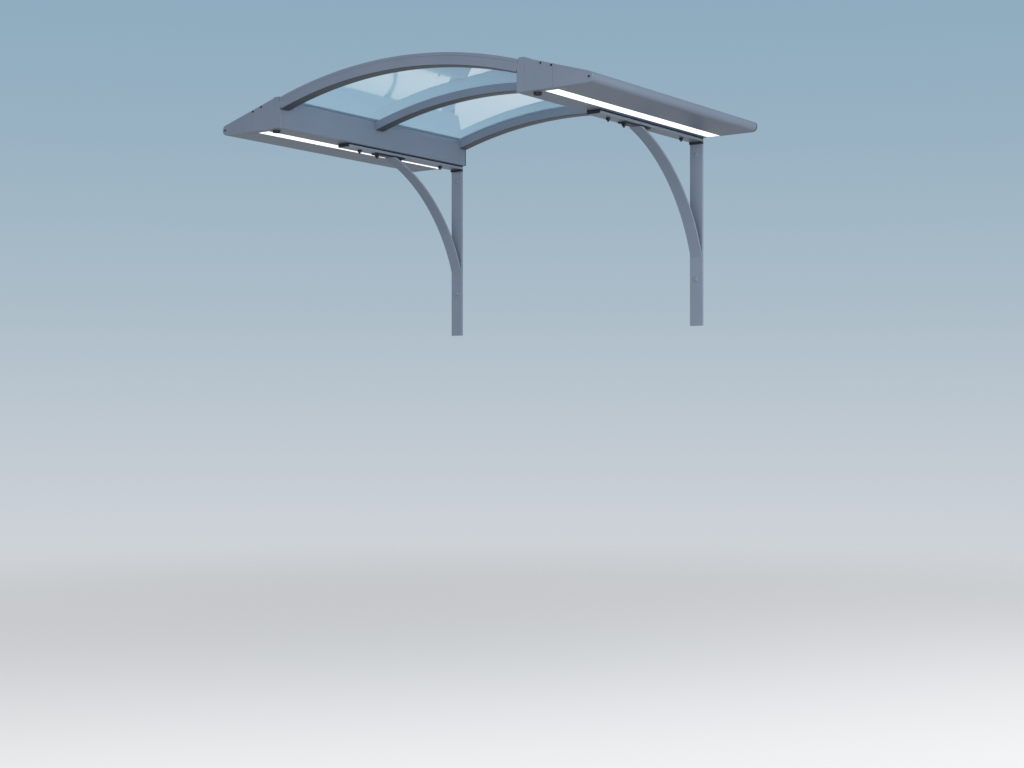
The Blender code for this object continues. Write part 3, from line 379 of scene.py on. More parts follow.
def coated_metal(name, colour, roughness):
    """Powder-coated aluminium: a fine orange peel, soft clouding and a faint metallic flake."""
    material = bpy.data.materials.new(name)
    material.use_nodes = True
    nodes, links = material.node_tree.nodes, material.node_tree.links
    shader = nodes["Principled BSDF"]
    shader.inputs["Metallic"].default_value = 0.10
    shader.inputs["Specular IOR Level"].default_value = 0.25
    place = nodes.new("ShaderNodeTexCoord")
    clouding = nodes.new("ShaderNodeTexNoise")
    clouding.inputs["Scale"].default_value = 5.0
    clouding.inputs["Detail"].default_value = 4.0
    links.new(place.outputs["Object"], clouding.inputs["Vector"])
    flake = nodes.new("ShaderNodeTexVoronoi")
    flake.inputs["Scale"].default_value = 1600.0
    links.new(place.outputs["Object"], flake.inputs["Vector"])
    flake_light = nodes.new("ShaderNodeMapRange")
    flake_light.inputs["To Min"].default_value = 0.94
    flake_light.inputs["To Max"].default_value = 1.06
    links.new(flake.outputs["Color"], flake_light.inputs["Value"])
    cloud_light = nodes.new("ShaderNodeMapRange")
    cloud_light.inputs["From Min"].default_value = 0.3
    cloud_light.inputs["From Max"].default_value = 0.7
    cloud_light.inputs["To Min"].default_value = 0.96
    cloud_light.inputs["To Max"].default_value = 1.04
    links.new(clouding.outputs["Fac"], cloud_light.inputs["Value"])
    both = nodes.new("ShaderNodeMath")
    both.operation = "MULTIPLY"
    links.new(flake_light.outputs["Result"], both.inputs[0])
    links.new(cloud_light.outputs["Result"], both.inputs[1])
    tint = nodes.new("ShaderNodeVectorMath")
    tint.operation = "SCALE"
    tint.inputs[0].default_value = colour
    links.new(both.outputs[0], tint.inputs["Scale"])
    links.new(tint.outputs["Vector"], shader.inputs["Base Color"])
    rough = nodes.new("ShaderNodeMapRange")
    rough.inputs["To Min"].default_value = roughness - 0.05
    rough.inputs["To Max"].default_value = roughness + 0.05
    links.new(clouding.outputs["Fac"], rough.inputs["Value"])
    links.new(rough.outputs["Result"], shader.inputs["Roughness"])
    peel = nodes.new("ShaderNodeTexNoise")
    peel.inputs["Scale"].default_value = 700.0
    peel.inputs["Detail"].default_value = 2.0
    links.new(place.outputs["Object"], peel.inputs["Vector"])
    bump = nodes.new("ShaderNodeBump")
    bump.inputs["Strength"].default_value = 0.12
    bump.inputs["Distance"].default_value = 0.0002
    links.new(peel.outputs["Fac"], bump.inputs["Height"])
    links.new(bump.outputs["Normal"], shader.inputs["Normal"])
    return material


body_metal = coated_metal("coated_aluminium", (0.152, 0.188, 0.246), 0.46)

PORT_RADIUS = 0.0019
PORT_BOSS_RADIUS = 0.006
PORT_WALL_DISTANCE = 0.0055
PORT_TOP_DISTANCE = 0.0043
NOSE_PORT_INSET = 0.0145
NOSE_BOSS_RADIUS = 0.0048
WEB_HALF = 0.001
NIB = 0.0008
NIB_Z = 0.0060
NIB_HEIGHT = 0.0015
port_places = []
for wall_x, facing in ((light_in_x, 1), (light_out_x, -1)):
    port_x = wall_x + facing * PORT_WALL_DISTANCE
    port_places.append((port_x, top_z(port_x, SKIN + PORT_TOP_DISTANCE)))
port_places.append((outer_x - NOSE_PORT_INSET, NOSE_RADIUS))


def light_channel():
    """The open channel with a nib on each wall that the diffuser clips over."""
    half = [
        (light_in_x, 0.0),
        (light_in_x, NIB_Z),
        (light_in_x + NIB, NIB_Z),
        (light_in_x + NIB, NIB_Z + NIB_HEIGHT),
        (light_in_x, NIB_Z + NIB_HEIGHT),
        (light_in_x, LIGHT_DEPTH),
    ]
    return half + [(light_in_x + light_out_x - x, z) for x, z in reversed(half)]


def gutter_mouth():
    """From the hood's outer edge through the gutter to the seat and the leaning band."""
    elbow_x = hood_out_x - HOOD_WALL
    reach = (gutter_in_x - SKIN * math.cos(band_angle)) / math.sin(band_angle)
    return [
        (hood_out_x, shoulder_z),
        (hood_out_x, hood_top),
        (hood_in_x, hood_top),
        (hood_in_x, hood_low),
        (elbow_x, hood_low),
        (elbow_x, top_z(elbow_x, SKIN)),
        (gutter_out_x, top_z(gutter_out_x, SKIN)),
        (gutter_out_x, SKIN),
        (gutter_in_x, SKIN),
        (gutter_in_x, band_point(reach, -SKIN)[1]),
        band_point(SEAT_RADIUS - SKIN, -SKIN),
        (seat_out_x, arc_z(seat_out_x, SEAT_RADIUS) - SKIN),
        (seat_out_x, arc_z(seat_out_x, SEAT_RADIUS)),
        (seat_in_x, arc_z(seat_in_x, SEAT_RADIUS)),
        (inner_x, band_start),
    ]


def profile_chambers():
    """The closed chambers between the light channel and the nose, and the three screw ports."""
    beside = math.acos(PORT_WALL_DISTANCE / PORT_BOSS_RADIUS)
    under = math.acos(PORT_TOP_DISTANCE / PORT_BOSS_RADIUS)
    floor_z = LIGHT_DEPTH + SKIN
    over_light = [(light_in_x, floor_z), (light_out_x, floor_z)]
    over_light += reversed(
        arc(port_places[1], PORT_BOSS_RADIUS, top_normal + under, 2 * math.pi - beside, 12)
    )
    end = 2 * math.pi + top_normal - under
    over_light += reversed(arc(port_places[0], PORT_BOSS_RADIUS, math.pi + beside, end, 12))
    port_x = port_places[2][0]
    web_x = (chamber_x + port_x) / 2
    web_left, web_right = web_x - WEB_HALF, web_x + WEB_HALF
    port_left, port_right = port_x - WEB_HALF, port_x + WEB_HALF
    inner = NOSE_RADIUS - SKIN
    ring, spread = NOSE_BOSS_RADIUS, math.asin(WEB_HALF / NOSE_BOSS_RADIUS)
    end = math.acos((port_right - nose_x) / inner)
    low_z = NOSE_RADIUS - math.sqrt(inner**2 - (port_left - nose_x) ** 2)
    wide = [
        (chamber_x, SKIN),
        (web_left, SKIN),
        (web_left, top_z(web_left, SKIN)),
        (chamber_x, top_z(chamber_x, SKIN)),
    ]
    narrow = [(web_right, SKIN), (port_left, low_z)]
    narrow += reversed(
        arc(port_places[2], ring, math.pi / 2 + spread, 1.5 * math.pi - spread, 12)
    )
    narrow.append((port_left, top_z(port_left, SKIN)))
    narrow.append((web_right, top_z(web_right, SKIN)))
    nose = arc((nose_x, NOSE_RADIUS), inner, -end, end, 16)
    nose += reversed(arc(port_places[2], ring, spread - math.pi / 2, math.pi / 2 - spread, 12))
    ports = [arc(port, PORT_RADIUS, 0.0, 2 * math.pi * 15 / 16, 16) for port in port_places]
    return [over_light, wide, narrow, nose] + ports


profile_outline = [(inner_x, 0.0)] + light_channel()
profile_outline += arc((nose_x, NOSE_RADIUS), NOSE_RADIUS, -math.pi / 2, top_normal, 36)
profile_outline += gutter_mouth()
profile_outline = rounded(profile_outline, 0.0006)
for label, side in SIDES.items():
    profile_bm = bmesh.new()
    sweep(
        profile_bm, [profile_outline] + profile_chambers(), (profile_low.y, profile_high.y),
        along_y(side, underside_z),
    )
    finish_piece(
        f"profile_{label}", profile_bm, body_metal, [f"side_profile_{label}"]
    )

# Front end caps, cast plates in the same coat that close the side profiles. Each is made of three
# fitted fields, so that two fine upright seams show, and has a tongue in the light channel's mouth.
cap_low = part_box("front_end_cap_right")[0]
cap_back = profile_low.y - GAP
tongue_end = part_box("diffuser_right")[0].y - GAP
CAP_EDGE = 0.0006
TONGUE_HEIGHT = NIB_Z - GAP
hood_and_seat = [
    (hood_out_x, hood_top),
    (hood_in_x, hood_top),
    (hood_in_x, arc_z(seat_in_x, SEAT_RADIUS) + 0.001),
    (seat_in_x, arc_z(seat_in_x, SEAT_RADIUS)),
    (inner_x, band_start),
]
cap_fields = (
    [(inner_x, 0.0), (hood_out_x, 0.0)] + hood_and_seat,
    [
        (hood_out_x, 0.0),
        (light_out_x, 0.0),
        (light_out_x, top_z(light_out_x)),
        (hood_out_x, shoulder_z),
    ],
    [(light_out_x, 0.0)]
    + arc((nose_x, NOSE_RADIUS), NOSE_RADIUS, -math.pi / 2, top_normal, 36)
    + [(light_out_x, top_z(light_out_x))],
)
for label, side in SIDES.items():
    cap_bm = bmesh.new()
    for field in cap_fields:
        sweep(
            cap_bm, [rounded(field, 0.0004)], eased(cap_low.y, cap_back, CAP_EDGE),
            along_y(side, underside_z),
        )
    tongue = box_loop(light_in_x + GAP, 0.0, light_out_x - GAP, TONGUE_HEIGHT)
    sweep(
        cap_bm, [rounded(tongue, 0.0004)], eased(cap_back - CAP_EDGE, tongue_end, 0.0003),
        along_y(side, underside_z),
    )
    finish_piece(
        f"front_cap_{label}", cap_bm, body_metal, [f"front_end_cap_{label}"]
    )

# Black moulded plastic of the rear end caps, drain outlets, arch strips and bracket blocks: a fine
# spark-eroded grain with a slightly uneven sheen.
def moulded_plastic(name, colour, roughness, grain):
    """Plastic or rubber with a fine grain that also varies its sheen."""
    material = bpy.data.materials.new(name)
    material.use_nodes = True
    nodes, links = material.node_tree.nodes, material.node_tree.links
    shader = nodes["Principled BSDF"]
    shader.inputs["Base Color"].default_value = (*colour, 1.0)
    shader.inputs["Specular IOR Level"].default_value = 0.22
    place = nodes.new("ShaderNodeTexCoord")
    grains = nodes.new("ShaderNodeTexNoise")
    grains.inputs["Scale"].default_value = grain
    grains.inputs["Detail"].default_value = 3.0
    links.new(place.outputs["Object"], grains.inputs["Vector"])
    sheen = nodes.new("ShaderNodeMapRange")
    sheen.inputs["To Min"].default_value = roughness - 0.08
    sheen.inputs["To Max"].default_value = roughness + 0.08
    links.new(grains.outputs["Fac"], sheen.inputs["Value"])
    links.new(sheen.outputs["Result"], shader.inputs["Roughness"])
    bump = nodes.new("ShaderNodeBump")
    bump.inputs["Strength"].default_value = 0.25
    bump.inputs["Distance"].default_value = 0.0001
    links.new(grains.outputs["Fac"], bump.inputs["Height"])
    links.new(bump.outputs["Normal"], shader.inputs["Normal"])
    return material


black_plastic = moulded_plastic("black_plastic", (0.018, 0.021, 0.026), 0.50, 1400.0)
black_rubber = moulded_plastic("black_rubber", (0.012, 0.012, 0.014), 0.78, 500.0)
# Gasket rubber, lifted to a light blue-grey as painted light against the shade in its gaps.
grey_rubber = moulded_plastic("grey_rubber", (0.24, 0.28, 0.34), 0.75, 500.0)
strip_plastic = moulded_plastic("strip_plastic", (0.045, 0.054, 0.070), 0.45, 1400.0)
rear_low, rear_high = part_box("rear_end_cap_right")
CABLE_HOLE_RADIUS = 0.005
hole_centre = ((light_in_x + light_out_x) / 2, LIGHT_DEPTH / 2)
cable_hole = arc(hole_centre, CABLE_HOLE_RADIUS, 0.0, 2 * math.pi * 23 / 24, 24)
rear_outline = [(inner_x, 0.0)] + cap_fields[2][1:-1] + [(hood_out_x, shoulder_z)] + hood_and_seat
for label, side in SIDES.items():
    rear_bm = bmesh.new()
    sweep(
        rear_bm, [rounded(rear_outline, 0.0005), cable_hole], eased(rear_low.y, rear_high.y, 0.0004),
        along_y(side, underside_z),
    )
    finish_piece(
        f"rear_cap_{label}", rear_bm, black_plastic, [f"rear_end_cap_{label}"]
    )

# Lights, an opal extruded diffuser flush with the underside and, behind it, a white board with
# light chips. The CAD solids have the right form, so they only take their materials here.
opal = bpy.data.materials.new("opal_diffuser")
opal.use_nodes = True
opal_nodes, opal_links = opal.node_tree.nodes, opal.node_tree.links
opal_shader = opal_nodes["Principled BSDF"]
opal_shader.inputs["Base Color"].default_value = (0.85, 0.88, 0.90, 1.0)
opal_shader.inputs["Roughness"].default_value = 0.35
opal_shader.inputs["Emission Strength"].default_value = 1.0
opal_place = opal_nodes.new("ShaderNodeTexCoord")
opal_haze = opal_nodes.new("ShaderNodeTexNoise")
opal_haze.inputs["Scale"].default_value = 14.0
opal_links.new(opal_place.outputs["Object"], opal_haze.inputs["Vector"])
opal_glow = opal_nodes.new("ShaderNodeValToRGB")
opal_glow.color_ramp.elements[0].color = (0.93, 0.98, 1.0, 1.0)
opal_glow.color_ramp.elements[1].color = (0.99, 1.0, 1.0, 1.0)
opal_links.new(opal_haze.outputs["Fac"], opal_glow.inputs["Fac"])
opal_links.new(opal_glow.outputs["Color"], opal_shader.inputs["Emission Color"])
board_white = moulded_plastic("light_board_white", (0.78, 0.78, 0.74), 0.45, 300.0)
for label in SIDES:
    for node, material in ((f"diffuser_{label}", opal), (f"light_board_{label}", board_white)):
        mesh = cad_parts[node].data
        mesh.materials.clear()
        mesh.materials.append(material)

# Drain outlets, turned black plastic spigots that carry the gutter's water through the underside.
# A rounded collar shows below, with a lip that a hose can grip.
outlet_low, outlet_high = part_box("drain_outlet_right")
outlet_x, outlet_y = (outlet_low.x + outlet_high.x) / 2, (outlet_low.y + outlet_high.y) / 2
OUTLET_BORE = 0.0115
OUTLET_NECK = 0.0142
OUTLET_COLLAR = 0.0160
OUTLET_WAIST = 0.0151
OUTLET_TURNS = 48
outlet_section = rounded(
    [
        (OUTLET_BORE, outlet_low.z),
        (OUTLET_COLLAR - 0.0005, outlet_low.z),
        (OUTLET_COLLAR, outlet_low.z + 0.0010),
        (OUTLET_COLLAR, outlet_low.z + 0.0026),
        (OUTLET_WAIST, outlet_low.z + 0.0032),
        (OUTLET_WAIST, underside_z - 0.0026),
        (OUTLET_COLLAR, underside_z - 0.0020),
        (OUTLET_COLLAR, underside_z - GAP),
        (OUTLET_NECK, underside_z - GAP),
        (OUTLET_NECK, outlet_high.z),
        (OUTLET_BORE, outlet_high.z),
    ],
    0.0004,
)
for label, side in SIDES.items():
    outlet_bm = bmesh.new()
    rings = []
    for i in range(OUTLET_TURNS):
        angle = 2 * math.pi * i / OUTLET_TURNS
        rings.append([
            outlet_bm.verts.new(
                (side * outlet_x + r * math.cos(angle), outlet_y + r * math.sin(angle), z)
            )
            for r, z in outlet_section
        ])
    for ring, after in zip(rings, rings[1:] + rings[:1]):
        for i in range(len(ring)):
            j = (i + 1) % len(ring)
            outlet_bm.faces.new((ring[i], ring[j], after[j], after[i]))
    finish_piece(
        f"outlet_{label}", outlet_bm, black_plastic, [f"drain_outlet_{label}"]
    )


# Arches, aluminium channels rolled to the roof's radius, with a screw port in each wall and inward
# lips below. A nodes tree does the rolling: it bends a straight length over the roof's arc.
def rolling_tree():
    """Bend a straight length along x, from -1 to 1, over the roof's arc. Its z is the radius."""
    tree = bpy.data.node_groups.new("roll over the roof", "GeometryNodeTree")
    face = tree.interface
    face.new_socket("Geometry", in_out="INPUT", socket_type="NodeSocketGeometry")
    centre = face.new_socket("Centre Height", in_out="INPUT", socket_type="NodeSocketFloat")
    centre.default_value = underside_z + roof_centre
    end = face.new_socket("End Angle", in_out="INPUT", socket_type="NodeSocketFloat")
    end.default_value = 0.28
    face.new_socket("Finish", in_out="INPUT", socket_type="NodeSocketMaterial")
    face.new_socket("Geometry", in_out="OUTPUT", socket_type="NodeSocketGeometry")
    nodes, links = tree.nodes, tree.links
    given, result = nodes.new("NodeGroupInput"), nodes.new("NodeGroupOutput")
    position, parts = nodes.new("GeometryNodeInputPosition"), nodes.new("ShaderNodeSeparateXYZ")
    links.new(position.outputs[0], parts.inputs[0])

    def calculate(operation, first, second=None):
        step = nodes.new("ShaderNodeMath")
        step.operation = operation
        links.new(first, step.inputs[0])
        if second is not None:
            links.new(second, step.inputs[1])
        return step.outputs[0]

    angle = calculate("MULTIPLY", parts.outputs["X"], given.outputs["End Angle"])
    across = calculate("MULTIPLY", parts.outputs["Z"], calculate("SINE", angle))
    up = calculate("MULTIPLY", parts.outputs["Z"], calculate("COSINE", angle))
    height = calculate("ADD", up, given.outputs["Centre Height"])
    bent = nodes.new("ShaderNodeCombineXYZ")
    links.new(across, bent.inputs["X"])
    links.new(parts.outputs["Y"], bent.inputs["Y"])
    links.new(height, bent.inputs["Z"])
    move = nodes.new("GeometryNodeSetPosition")
    links.new(given.outputs["Geometry"], move.inputs["Geometry"])
    links.new(bent.outputs[0], move.inputs["Position"])
    real, coat = nodes.new("GeometryNodeRealizeInstances"), nodes.new("GeometryNodeSetMaterial")
    links.new(move.outputs["Geometry"], real.inputs["Geometry"])
    links.new(real.outputs["Geometry"], coat.inputs["Geometry"])
    links.new(given.outputs["Finish"], coat.inputs["Material"])
    links.new(coat.outputs["Geometry"], result.inputs["Geometry"])
    return tree


def set_input(modifier, socket_name, value):
    """Set a nodes input through its socket's identifier."""
    for item in modifier.node_group.interface.items_tree:
        if item.item_type == "SOCKET" and item.in_out == "INPUT" and item.name == socket_name:
            modifier[item.identifier] = value


ROLL = rolling_tree()
ROLL_STEPS = 120
EDGE = 0.0006


def rolled(name, loops, end_angle, material, nodes, ease=EDGE):
    """A straight section in y and radius, rolled to the roof, with its cut ends eased."""
    bm = bmesh.new()
    share = ease / (ROOF_RADIUS * end_angle)
    stations = [(-1.0, ease), (-1.0 + share, 0.0)]
    stations += [(2.0 * i / ROLL_STEPS - 1.0, 0.0) for i in range(1, ROLL_STEPS)]
    stations += [(1.0 - share, 0.0), (1.0, ease)]
    sweep(bm, loops, stations, lambda y, r, along: (along, y, r))
    bmesh.ops.recalc_face_normals(bm, faces=bm.faces)
    mesh = bpy.data.meshes.new(name + "_straight")
    bm.to_mesh(mesh)
    bm.free()
    mesh.materials.append(material)
    straight = bpy.data.objects.new(name + "_straight", mesh)
    bpy.context.scene.collection.objects.link(straight)
    modifier = straight.modifiers.new("roll", "NODES")
    modifier.node_group = ROLL
    set_input(modifier, "Centre Height", underside_z + roof_centre)
    set_input(modifier, "End Angle", end_angle)
    set_input(modifier, "Finish", material)
    return evaluated_piece(name, straight, nodes)


ARCH_DEPTH = 0.047
ARCH_HEIGHT = 0.0335
ARCH_WALL = 0.0025
ARCH_LIP = 0.0075
ARCH_PORT_INSET = 0.0045
ARCH_PORT_HEIGHT = 0.0230
ARCH_PORT_RADIUS = 0.0019
arch_radius = SEAT_RADIUS - ARCH_HEIGHT
arch_end = band_angle - GAP / arch_radius


def mirrored(half):
    """A half section from the front edge, joined to its mirror image at the back edge."""
    return half + [(ARCH_DEPTH - y, r) for y, r in reversed(half)]


arch_half = [
    (0.0, ARCH_HEIGHT),
    (0.0, 0.0),
    (ARCH_LIP, 0.0),
    (ARCH_LIP, ARCH_WALL),
    (ARCH_WALL, ARCH_WALL),
    (ARCH_WALL, ARCH_PORT_HEIGHT - 0.0045),
    (0.0066, ARCH_PORT_HEIGHT - 0.0035),
    (0.0084, ARCH_PORT_HEIGHT),
    (0.0066, ARCH_PORT_HEIGHT + 0.0035),
    (ARCH_WALL, ARCH_PORT_HEIGHT + 0.0045),
    (ARCH_WALL, ARCH_HEIGHT - ARCH_WALL),
]
leg_y = ARCH_LIP + GAP
hook_r = ARCH_WALL + GAP
strip_half = [
    (GAP, -0.0025),
    (GAP, -GAP),
    (leg_y, -GAP),
    (leg_y, hook_r),
    (leg_y - 0.0016, hook_r),
    (leg_y - 0.0016, hook_r + 0.0008),
    (leg_y, hook_r + 0.0028),
    (leg_y + 0.0015, hook_r + 0.0028),
    (leg_y + 0.0015, -GAP),
]
arch_fronts = {}
for label in ("front", "middle", "wall"):
    arch_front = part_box(f"{label}_arch")[0].y
    arch_fronts[label] = arch_front
    section = [(arch_front + y, arch_radius + r) for y, r in rounded(mirrored(arch_half), EDGE)]
    ports = [
        arc(
            (arch_front + y, arch_radius + ARCH_PORT_HEIGHT), ARCH_PORT_RADIUS,
            0.0, 2 * math.pi * 11 / 12, 12,
        )
        for y in (ARCH_PORT_INSET, ARCH_DEPTH - ARCH_PORT_INSET)
    ]
    rolled(
        f"rolled_{label}_arch", [section] + ports, arch_end, body_metal,
        [f"{label}_arch"],
    )
    section = [(arch_front + y, arch_radius + r) for y, r in rounded(mirrored(strip_half), 0.0004)]
    rolled(
        f"{label}_strip", [section], arch_end, strip_plastic,
        [f"{label}_arch_strip"], 0.0003,
    )

# Clear roof, a 4 mm sheet of clear plastic, cold-curved under its hoods. It is faintly blue with a
# faint painted glow, a blue emission although it is no lamp, and its shadow is light because light
# passes through it.
clear = bpy.data.materials.new("clear_plastic")
clear.use_nodes = True
clear_nodes, clear_links = clear.node_tree.nodes, clear.node_tree.links
clear_shader = clear_nodes["Principled BSDF"]
clear_shader.inputs["Base Color"].default_value = (0.95, 0.985, 1.0, 1.0)
clear_shader.inputs["Transmission Weight"].default_value = 1.0
clear_shader.inputs["IOR"].default_value = 1.45
# Painted glow: a weak blue emission that brightens the sheet as light would, though the sheet gives no
# light.
clear_shader.inputs["Emission Color"].default_value = (0.36, 0.76, 1.0, 1.0)
clear_shader.inputs["Emission Strength"].default_value = 0.05
clear_place = clear_nodes.new("ShaderNodeTexCoord")
clear_ripple = clear_nodes.new("ShaderNodeTexNoise")
clear_ripple.inputs["Scale"].default_value = 6.0
clear_ripple.inputs["Detail"].default_value = 2.0
clear_links.new(clear_place.outputs["Object"], clear_ripple.inputs["Vector"])
clear_rough = clear_nodes.new("ShaderNodeMapRange")
clear_rough.inputs["To Min"].default_value = 0.01
clear_rough.inputs["To Max"].default_value = 0.05
clear_links.new(clear_ripple.outputs["Fac"], clear_rough.inputs["Value"])
clear_links.new(clear_rough.outputs["Result"], clear_shader.inputs["Roughness"])
clear_bump = clear_nodes.new("ShaderNodeBump")
clear_bump.inputs["Strength"].default_value = 0.04
clear_bump.inputs["Distance"].default_value = 0.002
clear_links.new(clear_ripple.outputs["Fac"], clear_bump.inputs["Height"])
clear_links.new(clear_bump.outputs["Normal"], clear_shader.inputs["Normal"])
clear_shadow = clear_nodes.new("ShaderNodeBsdfTransparent")
clear_shadow.inputs["Color"].default_value = (0.88, 0.93, 0.97, 1.0)
clear_path = clear_nodes.new("ShaderNodeLightPath")
clear_mix = clear_nodes.new("ShaderNodeMixShader")
clear_links.new(clear_path.outputs["Is Shadow Ray"], clear_mix.inputs["Fac"])
clear_links.new(clear_shader.outputs["BSDF"], clear_mix.inputs[1])
clear_links.new(clear_shadow.outputs["BSDF"], clear_mix.inputs[2])
clear_links.new(clear_mix.outputs["Shader"], clear_nodes["Material Output"].inputs["Surface"])
sheet_section = box_loop(
    sheet_low.y, ROOF_RADIUS, sheet_high.y, ROOF_RADIUS + SHEET_THICKNESS
)
sheet_end = math.asin(sheet_high.x / (ROOF_RADIUS + SHEET_THICKNESS))
rolled(
    "clear_roof", [rounded(sheet_section, 0.0004)], sheet_end, clear,
    ["glazing_sheet"],
)

# Cover profiles, aluminium angles rolled with the roof. They hold the sheet down at the front edge
# and at the wall, and a rubber bead seals the rear one against the wall.
COVER_WALL = 0.003
COVER_FOOT = 0.006
cover_radius = ROOF_RADIUS + SHEET_THICKNESS + GAP
cover_top = cover_radius + 2 * COVER_WALL
cover_section = [
    (0.0, SEAT_RADIUS + GAP),
    (COVER_WALL, SEAT_RADIUS + GAP),
    (COVER_WALL, cover_radius + COVER_WALL),
    (ARCH_DEPTH - COVER_FOOT, cover_radius + COVER_WALL),
    (ARCH_DEPTH - COVER_FOOT, cover_radius),
    (ARCH_DEPTH, cover_radius),
    (ARCH_DEPTH, cover_top),
    (0.0, cover_top),
]
cover_end = math.asin((hood_in_x - GAP) / cover_top)
for label, edge_y, inwards in (("front", arch_fronts["front"], 1), ("wall", 0.0, -1)):
    section = [(edge_y + inwards * y, r) for y, r in rounded(cover_section, EDGE)]
    rolled(
        f"{label}_cover", [section], cover_end, body_metal,
        [f"{label}_cover_strip"],
    )
BEAD = 0.008
bead_radius = cover_top + GAP
bead_section = [(-BEAD, bead_radius), (0.0, bead_radius), (0.0, bead_radius + BEAD)]
bead_end = math.asin((hood_in_x - GAP) / (bead_radius + BEAD))
rolled(
    "wall_bead", [rounded(bead_section, 0.001)], bead_end, black_rubber,
    ["wall_seal"],
)

# Gasket, one grey rubber frame between the sheet and what carries it: a strip on each seat and a
# strip on each arch. Its light blue-grey is partly painted light, lifted so that the rubber in its
# shaded gaps does not read as a dark line.
GASKET_EDGE = 0.0003
GASKET_INSET = 0.0065
gasket_bm = bmesh.new()
seat_low_x, seat_high_x = seat_in_x + 0.001, seat_out_x - 0.0005
seat_strip = [
    (seat_low_x, arc_z(seat_low_x, SEAT_RADIUS) + GAP),
    (seat_high_x, arc_z(seat_high_x, SEAT_RADIUS) + GAP),
    (seat_high_x, arc_z(seat_high_x, ROOF_RADIUS) - GAP),
    (seat_low_x, arc_z(seat_low_x, ROOF_RADIUS) - GAP),
]
for side in SIDES.values():
    sweep(
        gasket_bm, [rounded(seat_strip, GASKET_EDGE)], (profile_low.y, profile_high.y - 0.0005),
        along_y(side, underside_z),
    )
gasket_end = math.asin((seat_in_x + 0.0005) / SEAT_RADIUS)
angles = [gasket_end * (2.0 * i / ROLL_STEPS - 1.0) for i in range(ROLL_STEPS + 1)]
for arch_front in arch_fronts.values():
    strip_low, strip_high = arch_front + GASKET_INSET, arch_front + ARCH_DEPTH - GASKET_INSET
    strip = box_loop(strip_low, SEAT_RADIUS + GAP, strip_high, ROOF_RADIUS - GAP)
    sweep(
        gasket_bm, [rounded(strip, GASKET_EDGE)], angles,
        lambda y, r, a: (r * math.sin(a), y, underside_z + roof_centre + r * math.cos(a)),
    )
finish_piece("roof_gasket", gasket_bm, grey_rubber, ["glazing_gasket"])

# Arch angles, cut from folded aluminium strip, behind the feet of the front and middle arches. One
# leg lies on the profile's leaning band and the other on the arch.
ANGLE_THICKNESS = 0.003
ANGLE_ARCH_LEG = 0.025
ANGLE_WALL_LEG = 0.035
ANGLE_RISE = 0.0075
ANGLE_HEIGHT = 0.0225
angle_low = arch_radius + ANGLE_RISE


def on_band(side):
    """Place an outline, drawn inwards from the leaning band and along y, at a radius."""
    def place(inset, y, radius):
        x, z = band_point(radius, inset)
        return (side * x, y, underside_z + z)

    return place


for label, side in SIDES.items():
    for arch in ("front", "middle"):
        back_y = arch_fronts[arch] + ARCH_DEPTH
        near_y, inner_inset = back_y + GAP, GAP + ANGLE_THICKNESS
        outline = [
            (GAP, near_y),
            (ANGLE_ARCH_LEG, near_y),
            (ANGLE_ARCH_LEG, near_y + ANGLE_THICKNESS),
            (inner_inset, near_y + ANGLE_THICKNESS),
            (inner_inset, back_y + ANGLE_WALL_LEG),
            (GAP, back_y + ANGLE_WALL_LEG),
        ]
        angle_bm = bmesh.new()
        sweep(
            angle_bm, [rounded(outline, 0.0008)], eased(angle_low, angle_low + ANGLE_HEIGHT, 0.0005),
            on_band(side),
        )
        finish_piece(
            f"{arch}_angle_{label}", angle_bm, body_metal,
            [f"{arch}_arch_angle_{label}"],
        )

# Bracket rails, flat hollow bars under the side profiles. A black rubber pad lies between the two,
# and a black cap is pressed into the front end.
# Painted light: the bars' coat is the profiles' blue-grey made lighter, a lit copy of one coat that
# stands in for more light on the rails, braces and posts.
bar_coat_painted_lighter = coated_metal("coated_bar", (0.187, 0.227, 0.288), 0.44)
BAR_EDGE = 0.0012
RAIL_WALL = 0.0025
RAIL_CORE_HALF = 0.009
PLUG_LENGTH = 0.012
rail_low, rail_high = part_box("bracket_rail_right")
pad_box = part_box("rail_pad_right")
plug_front_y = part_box("rail_end_cap_right")[0].y
bracket_x = (rail_low.x + rail_high.x) / 2
rail_section = rounded(box_loop(rail_low.x, rail_low.z, rail_high.x, rail_high.z), BAR_EDGE, 4)
hollow_low, hollow_high = rail_low.z + RAIL_WALL, rail_high.z - RAIL_WALL
hollows = [
    box_loop(rail_low.x + RAIL_WALL, hollow_low, bracket_x - RAIL_CORE_HALF, hollow_high),
    box_loop(bracket_x + RAIL_CORE_HALF, hollow_low, rail_high.x - RAIL_WALL, hollow_high),
]


def bar_piece(name, node, box, side, edge, steps, ease, material, upright=False):
    """A bar that fills a box, level or upright, with rounded long edges and eased ends."""
    low, high = box
    bm = bmesh.new()
    if upright:
        section = rounded(box_loop(low.x, low.y, high.x, high.y), edge, steps)
        sweep(bm, [section], eased(low.z, high.z, ease), lambda x, y, z: (side * x, y, z))
    else:
        section = rounded(box_loop(low.x, low.z, high.x, high.z), edge, steps)
        sweep(bm, [section], eased(low.y, high.y, ease), along_y(side))
    return finish_piece(name, bm, material, [node])


for label, side in SIDES.items():
    rail_bm = bmesh.new()
    sweep(rail_bm, [rail_section] + hollows, (rail_low.y, rail_high.y), along_y(side))
    finish_piece(f"rail_{label}", rail_bm, bar_coat_painted_lighter, [f"bracket_rail_{label}"])
    bar_piece(
        f"pad_{label}", f"rail_pad_{label}", pad_box, side, 0.0006, 3, 0.0005, black_rubber,
    )
    plug_bm = bmesh.new()
    sweep(plug_bm, [rail_section], eased(plug_front_y, rail_low.y - GAP, 0.0008), along_y(side))
    for hollow in hollows:
        sweep(
            plug_bm, [grown(hollow, -GAP)], (rail_low.y - GAP - 0.0005, rail_low.y + PLUG_LENGTH),
            along_y(side),
        )
    finish_piece(
        f"rail_plug_{label}", plug_bm, black_plastic, [f"rail_end_cap_{label}"]
    )

